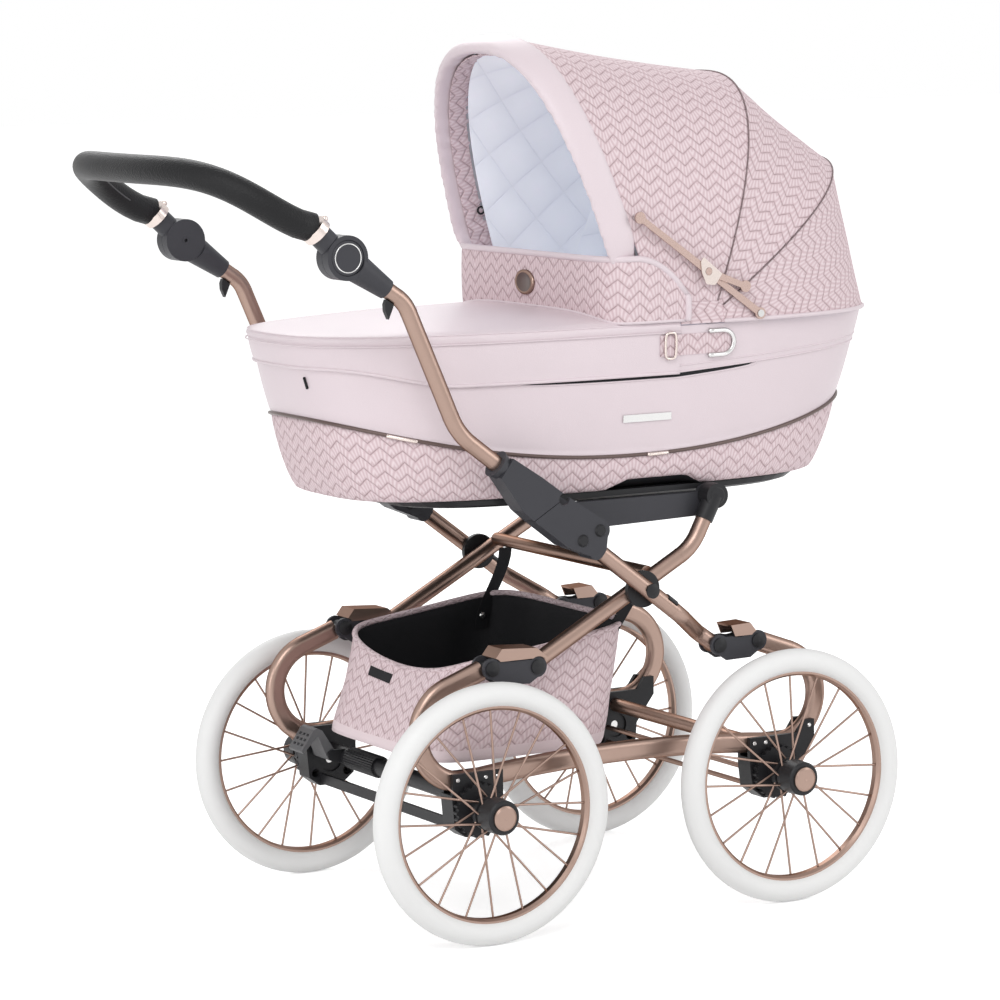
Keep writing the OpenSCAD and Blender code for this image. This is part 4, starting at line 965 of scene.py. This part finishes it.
def hood_seams():
    """Stitched ribs over the bows and the bound lower edge."""
    for name, bow, body in (("mid", mid_arch, "hood_mid"), ("rear", rear_arch, "hood_rear")):
        path = [arch(bow, t, -0.6) for t in arch_angles]
        dress(tube(f"hood_seam_{name}", path, 1.15, thread), body, "knit_fabric")
    path = [arch(base_arch, t, -0.4) for t in arch_angles]
    dress(tube("hood_foot", path, 3.0, leather), "cot", "pink_leatherette")
    loop = [Vector((16 + 5 * math.cos(a), 185.5, 937 + 5 * math.sin(a))) for a in turns(20)]
    dress(tube("hood_loop", loop, 1.5, dark_cloth, closed=True), "hood_front", "dark_fabric")


hood_seams()


# Padded front rim of the hood
rim_angles = even_angles(lambda t: arch(front_arch, t), 6.2, 173.8, 156)
rim_lean = math.radians(front_arch[2])
rim_way = Vector((-math.sin(rim_lean), 0, math.cos(rim_lean)))


def rim_frame(t, along, out):
    """Place on the rim: along the axis of the hood, and out from the arch."""
    core = arch(front_arch, t, 3.0)
    far = arch(front_arch, t, -5.0, 1.0)
    return core + rim_way * along + (far - core).normalized() * out


def hood_rim():
    """Padded rim, gathered on its inside and blown up as cloth."""
    rows = []
    for j, t in enumerate(rim_angles):
        row = []
        for a in turns(28):
            x, y = 24.5 * signed_pow(math.cos(a), 0.8), 10.5 * signed_pow(math.sin(a), 0.9)
            if math.sin(a) < 0.2:
                fold = math.sin(j * 1.15 + 1.2 * math.sin(j * 0.37)) * clamp(0.2 - math.sin(a))
                y -= 1.6 * fold * (0.6 + 0.4 * math.sin(j * 0.23))
            near = min(j, len(rim_angles) - 1 - j)
            end = min(1.0, 0.6 + 0.06 * near)
            row.append(rim_frame(t, 20.6 + x * end, 1.0 + y * end - 12 * smooth((9 - near) / 9)))
        rows.append(row)
    piece = rings("hood_rim_pad", rows, [leather], lambda i: 0, flip=True)
    seam = [rim_frame(t, 20.6, -8.5) / 1000 for t in rim_angles[::3]]
    shift = Vector((X_OFF / 1000, 0, 0))
    puffed(piece, lambda p: min((p - shift - q).length for q in seam) < 0.011, 0.006)
    dress(piece, "hood_front", "pink_leatherette", "hood_rim")


def hood_ruffle():
    """Gathered knit band inside the rim."""
    rows = []
    for i in range(8):
        f = i / 7
        row = []
        for j, t in enumerate(rim_angles):
            wave = math.sin(j * 1.9 + 1.4 * math.sin(j * 0.31)) * (1.8 - 1.2 * abs(2 * f - 1))
            row.append(rim_frame(t, lerp(25, -16, f), -12.0 - 2.5 * math.sin(math.pi * f) + wave))
        rows.append(row)
    band = shell("hood_ruffle", rows, 1.6, [knit, knit])
    dress(band, "hood_front", "knit_fabric")


hood_rim()
hood_ruffle()


# Mattress
def mattress():
    """Padded mattress as high as its solid."""
    low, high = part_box("mattress")
    z0, z1 = low[2] * 1000, high[2] * 1000
    rows = []
    side = ((60, 0), (44, 0.02), (36, 0.2), (34, 0.5), (37, 0.75), (46, 0.92))
    top = ((70, 1.0), (120, 1.0), (165, 1.0))
    for off, f in side + top:
        row = []
        for t in cot_angles:
            p = cot_point(607, off, t)
            row.append(Vector((p.x, p.y, lerp(z0, z1, f))))
        rows.append(row)
    piece = rings("mattress_pad", rows, [lining], lambda i: 0)
    dress(piece, "cot", "white_fabric", "mattress")


mattress()


# Basket
BASKET_Z0 = 232.0
BASKET_H = 118.0
BASKET_FLOOR = 235.0
BASKET_EDGE = 349.0
BASKET_X0, BASKET_X1 = -223, 40
BASKET_B = 186


def basket_point(z, off, t):
    """Place on the wall of the basket at angle t, set in by off."""
    f = (z - BASKET_Z0) / BASKET_H
    x0, x1 = lerp(-268, BASKET_X0, f), lerp(18, BASKET_X1, f)
    x, y = oval((x0 + x1) / 2, (x1 - x0) / 2 - off, lerp(172, BASKET_B, f) - off, 6, t)
    return Vector((x, y, z))


def basket_waist(t):
    return basket_point(318, 0, t)


basket_angles = even_angles(basket_waist, 0, 360, 160)[:-1]


def basket_top(p):
    """Height of the edge: it rises to the front and dips at the rear."""
    v = clamp((p.x - BASKET_X0) / (BASKET_X1 - BASKET_X0))
    return lerp(365, 398, v**1.2) - 30 * (1 - (p.y / BASKET_B) ** 2) * (1 - clamp(3 * v))


def slack(p):
    """Soft folds of the hanging cloth."""
    return wobble((p.x, p.y, p.z * 0.5), 60, 5.0) + wobble(p, 24, 1.2)


def basket_skin(t, f, inside=0.0):
    """Place on the basket wall from its floor, f = 0, to its edge, f = 1."""
    z = lerp(BASKET_FLOOR, BASKET_EDGE, f)
    p = basket_point(z, 0, t)
    out = (1.0 + slack(p)) * math.sin(math.pi * clamp(f * 0.94 + 0.06)) ** 0.8
    p = basket_point(z, inside - out, t)
    return Vector((p.x, p.y, lerp(BASKET_FLOOR, basket_top(basket_point(BASKET_EDGE, 0, t)), f)))


def basket_row(f, inside=0.0):
    """Ring round the basket at a share of its height."""
    return [basket_skin(t, f, inside) for t in basket_angles]


def folds(piece):
    """Gives the piece a mesh of its own."""
    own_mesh(piece)


def basket():
    """Knit tub with a plain foot round the board, dark inside, bound edge and a bare tag."""
    foot = ((232.4, 60), (232.4, 5.2), (227.4, 5.0), (226.8, 3.0), (227.6, 1.0))
    rows = [[basket_point(z, off, t) for t in basket_angles] for z, off in foot]
    rows += [basket_row(k / 16) for k in range(17)]
    outside = len(rows) - 1
    rows += [basket_row(k / 8, 2.4) for k in range(8, -1, -1)]
    rows.append([basket_point(235.2, 14, t) for t in basket_angles])
    bands = lambda i: 1 if i < 1 or i >= outside else 2 if i < 6 else 0
    tub = rings("basket_tub", rows, [knit, dark_cloth, plain_cloth], bands)
    dress(tub, "chassis", "knit_fabric", "basket", "basket_rim")
    edge = [p + Vector((0, 0, -3)) for p in basket_row(1, 1.2)]
    hem = dress(tube("basket_hem", edge, 4.2, knit, closed=True), "chassis", "knit_fabric")
    spread = even_angles(basket_waist, 176.4, 179.98, 8)
    tag = [[basket_skin(t, f, -1.0) for t in spread] for f in (0.74, 0.80, 0.86)]
    label = dress(shell("basket_tag", tag, 0.8, [dark_cloth] * 2), "chassis", "dark_fabric")
    for p in (tub, hem, label):
        folds(p)


def basket_strap(name, side, rows):
    strap = shell(name, rows, 1.6, [dark_cloth] * 2, flip=side > 0)
    dress(strap, "chassis", "dark_fabric")
    folds(strap)


def basket_straps():
    """Webbing from the edge to the brackets, and from inside it up to the cross tube, with a snap stud."""
    for name, side in SIDES:
        rows = []
        for k in range(10):
            x, z = lerp(-4, 43.5, smooth(k / 9)), lerp(344, 455, k / 9)
            y = side * lerp(168, 178, smooth(k / 9))
            rows.append([Vector((x + w, y, z)) for w in (-10, -3, 3, 10)])
        basket_strap(f"basket_strap_front_{name}", side, rows)
        rows = []
        for r, d in ((0.2, 3.6), (3.0, 3.4), (5.0, 2.4), (5.6, 0.8)):
            ring = [(-2 + r * math.cos(a), side * (167 - d), 362 + r * math.sin(a)) for a in turns(20)]
            rows.append([Vector(p) for p in ring])
        stud = rings(f"basket_stud_{name}", rows, [steel], lambda i: 0, flip=side > 0)
        dress(stud, "chassis", "steel")
        folds(stud)
        rows = []
        for k in range(5):
            y, z = side * lerp(182, 193.5, k / 4), lerp(344, 338, k / 4)
            rows.append([Vector((x, y, z)) for x in (-188, -181, -173, -166)])
        basket_strap(f"basket_strap_rear_{name}", side, rows)


basket()
basket_straps()


# Handle and irons
GRIP = Vector((-469.35, 0, 951.9))


def grip_line(t):
    """Middle line of the grip, a U from t = -90 to 90."""
    f = abs(math.cos(math.radians(t))) ** 0.77
    y = 238.5 * signed_pow(math.sin(math.radians(t)), 0.77)
    return Vector((GRIP.x - 154 * f, y, GRIP.z + 73 * math.sin(math.radians(90) * f**1.45)))


def grip_cover():
    """Round padded leather cover, with a stitched seam along its inside."""
    turn = lambda v: 90 * (0.55 * v + 0.45 * v**5)
    line = [grip_line(turn(lerp(-1, 1, k / 120))) for k in range(121)]
    cover = tube("grip_cover", line, 19.0, grip_leather, sides=36)
    dress(cover, "handle_bar", "grip_leather", "handle_grip")
    path = []
    for k in range(101):
        t = lerp(-78, 78, k / 100)
        way = (grip_line(t + 0.4) - grip_line(t - 0.4)).normalized()
        inward = Vector((GRIP.x - 30, 0, GRIP.z + 20)) - grip_line(t)
        inward = (inward - way * inward.dot(way)).normalized()
        path.append(grip_line(t) + inward * 18.9)
    dress(tube("grip_seam", path, 1.0, stitch), "handle_bar", "grip_leather")


def button_rings():
    """Thin bright ring on the bare face of each handle button."""
    for name, body in (("left_button", "button_left"), ("right_button", "button_right")):
        low, high = (Vector(p) * 1000 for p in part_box(name))
        mid = (low + high) / 2
        face = high.y if mid.y > 0 else low.y
        r = 0.40 * (high.z - low.z)
        x = mid.x - X_OFF
        loop = [Vector((x + r * math.cos(a), face, mid.z + r * math.sin(a))) for a in turns(48)]
        dress(tube(f"{name}_ring", loop, 0.9, steel, closed=True), body, "steel")


RIVET = Vector((136, 867))
KITE = ((128, 887), (157.5, 863), (146, 848), (132, 850), (125, 866), (123.6, 881))


def kite_reach(a):
    """Distance from the rivet to the edge of the plate at angle a."""
    d = Vector((math.cos(a), math.sin(a)))
    for p, q in zip(KITE, KITE[1:] + KITE[:1]):
        p, e = Vector(p) - RIVET, Vector(q) - Vector(p)
        det = d.x * e.y - d.y * e.x
        if abs(det) < 1e-9:
            continue
        far = (p.x * e.y - p.y * e.x) / det
        share = (p.x * d.y - p.y * d.x) / det
        if far > 0 and -1e-6 <= share <= 1 + 1e-6:
            return far
    return 12.0


def iron_plates():
    """Plate over the middle joint of each folding iron."""
    for name, side in SIDES:
        rows = []
        for r, y in ((0.0, 220.6), (0.0, 221.8), (1.0, 221.8), (1.0, 220.6)):
            row = []
            for a in turns(72):
                reach = lerp(5.4, kite_reach(a), r)
                row.append(Vector((RIVET.x + reach * math.cos(a), side * y, RIVET.y + reach * math.sin(a))))
            rows.append(row)
        plate = shell_ring(f"iron_plate_{name}", rows, rose, side > 0)
        dress(plate, "iron_up", "rose_metal")


grip_cover()
button_rings()
iron_plates()


# Stage
def looking(tree):
    """1 for the rays that show the white backdrop: seen straight, in metal or through glass."""
    path = tree.nodes.new("ShaderNodeLightPath")
    both = calc(tree, "ADD", path.outputs["Is Camera Ray"], path.outputs["Is Glossy Ray"])
    return calc(tree, "MINIMUM", calc(tree, "ADD", both, path.outputs["Is Transmission Ray"]), 1.0)


def backdrop():
    """White world, which lights the part at a plain level."""
    world = bpy.data.worlds.new("studio")
    bpy.context.scene.world = world
    world.use_nodes = True
    tree = world.node_tree
    ground = tree.nodes["Background"]
    ground.inputs["Color"].default_value = (1, 1, 1, 1)
    ground.inputs["Strength"].default_value = 0.62
    seen = tree.nodes.new("ShaderNodeBackground")
    seen.inputs["Color"].default_value = (1, 1, 1, 1)
    seen.inputs["Strength"].default_value = 1.0
    mix = tree.nodes.new("ShaderNodeMixShader")
    tree.links.new(looking(tree), mix.inputs[0])
    tree.links.new(ground.outputs[0], mix.inputs[1])
    tree.links.new(seen.outputs[0], mix.inputs[2])
    tree.links.new(mix.outputs[0], tree.nodes["World Output"].inputs["Surface"])


def floor():
    """Pale floor that keeps the part's shadow."""
    mesh = bpy.data.meshes.new("floor")
    mesh.from_pydata([(-30, -30, 0), (30, -30, 0), (30, 30, 0), (-30, 30, 0)], [], [(0, 1, 2, 3)])
    piece = bpy.data.objects.new("floor", mesh)
    bpy.context.scene.collection.objects.link(piece)
    mat, tree, bsdf = shader("floor_white", (0.9, 0.9, 0.9), 0.9)
    glow = tree.nodes.new("ShaderNodeEmission")
    tree.links.new(calc(tree, "MULTIPLY", looking(tree), 0.5), glow.inputs["Strength"])
    add = tree.nodes.new("ShaderNodeAddShader")
    tree.links.new(bsdf.outputs[0], add.inputs[0])
    tree.links.new(glow.outputs[0], add.inputs[1])
    tree.links.new(add.outputs[0], tree.nodes["Material Output"].inputs["Surface"])
    mesh.materials.append(mat)


# Each lamp: name, place, width in metres and watts
LAMPS = (
    ("key", (-2.2, -3.2, 3.6), 2.6, 78),
    ("front", (-3.8, -1.2, 1.2), 2.0, 26),
    ("fill", (3.4, -3.0, 2.2), 2.4, 42),
    ("back", (1.0, 3.2, 3.4), 2.4, 60),
)


def lamps():
    """Soft square lamps, aimed at the middle of the part."""
    for name, spot, size, watts in LAMPS:
        lamp = bpy.data.lights.new(name, "AREA")
        lamp.size = size
        lamp.energy = watts
        piece = bpy.data.objects.new(name, lamp)
        piece.location = spot
        aim = Vector((0.05, 0, 0.6)) - Vector(spot)
        piece.rotation_euler = aim.to_track_quat("-Z", "Y").to_euler()
        bpy.context.scene.collection.objects.link(piece)


def camera():
    """The photograph's camera, from the fit to its tyres."""
    azimuth, elevation, roll = (math.radians(a) for a in (-29.71, 7.37, -0.81))
    back = Vector(
        (
            math.sin(azimuth) * math.cos(elevation),
            -math.cos(azimuth) * math.cos(elevation),
            math.sin(elevation),
        )
    )
    right = (-back).cross(Vector((0, 0, 1))).normalized()
    up = right.cross(-back)
    right, up = (
        right * math.cos(roll) + up * math.sin(roll),
        up * math.cos(roll) - right * math.sin(roll),
    )
    eye = bpy.data.cameras.new("eye")
    eye.sensor_width = 36
    eye.lens = 146.1
    eye.shift_x = -0.0011
    eye.shift_y = 0.0076
    piece = bpy.data.objects.new("eye", eye)
    spot = Vector((-2.8085 + X_OFF / 1000, -4.8099, 1.2554))
    piece.matrix_world = Matrix.Translation(spot) @ Matrix((right, up, back)).transposed().to_4x4()
    bpy.context.scene.collection.objects.link(piece)
    bpy.context.scene.camera = piece


repaint()
backdrop()
floor()
lamps()
camera()
bpy.context.scene.view_settings.view_transform = "Standard"
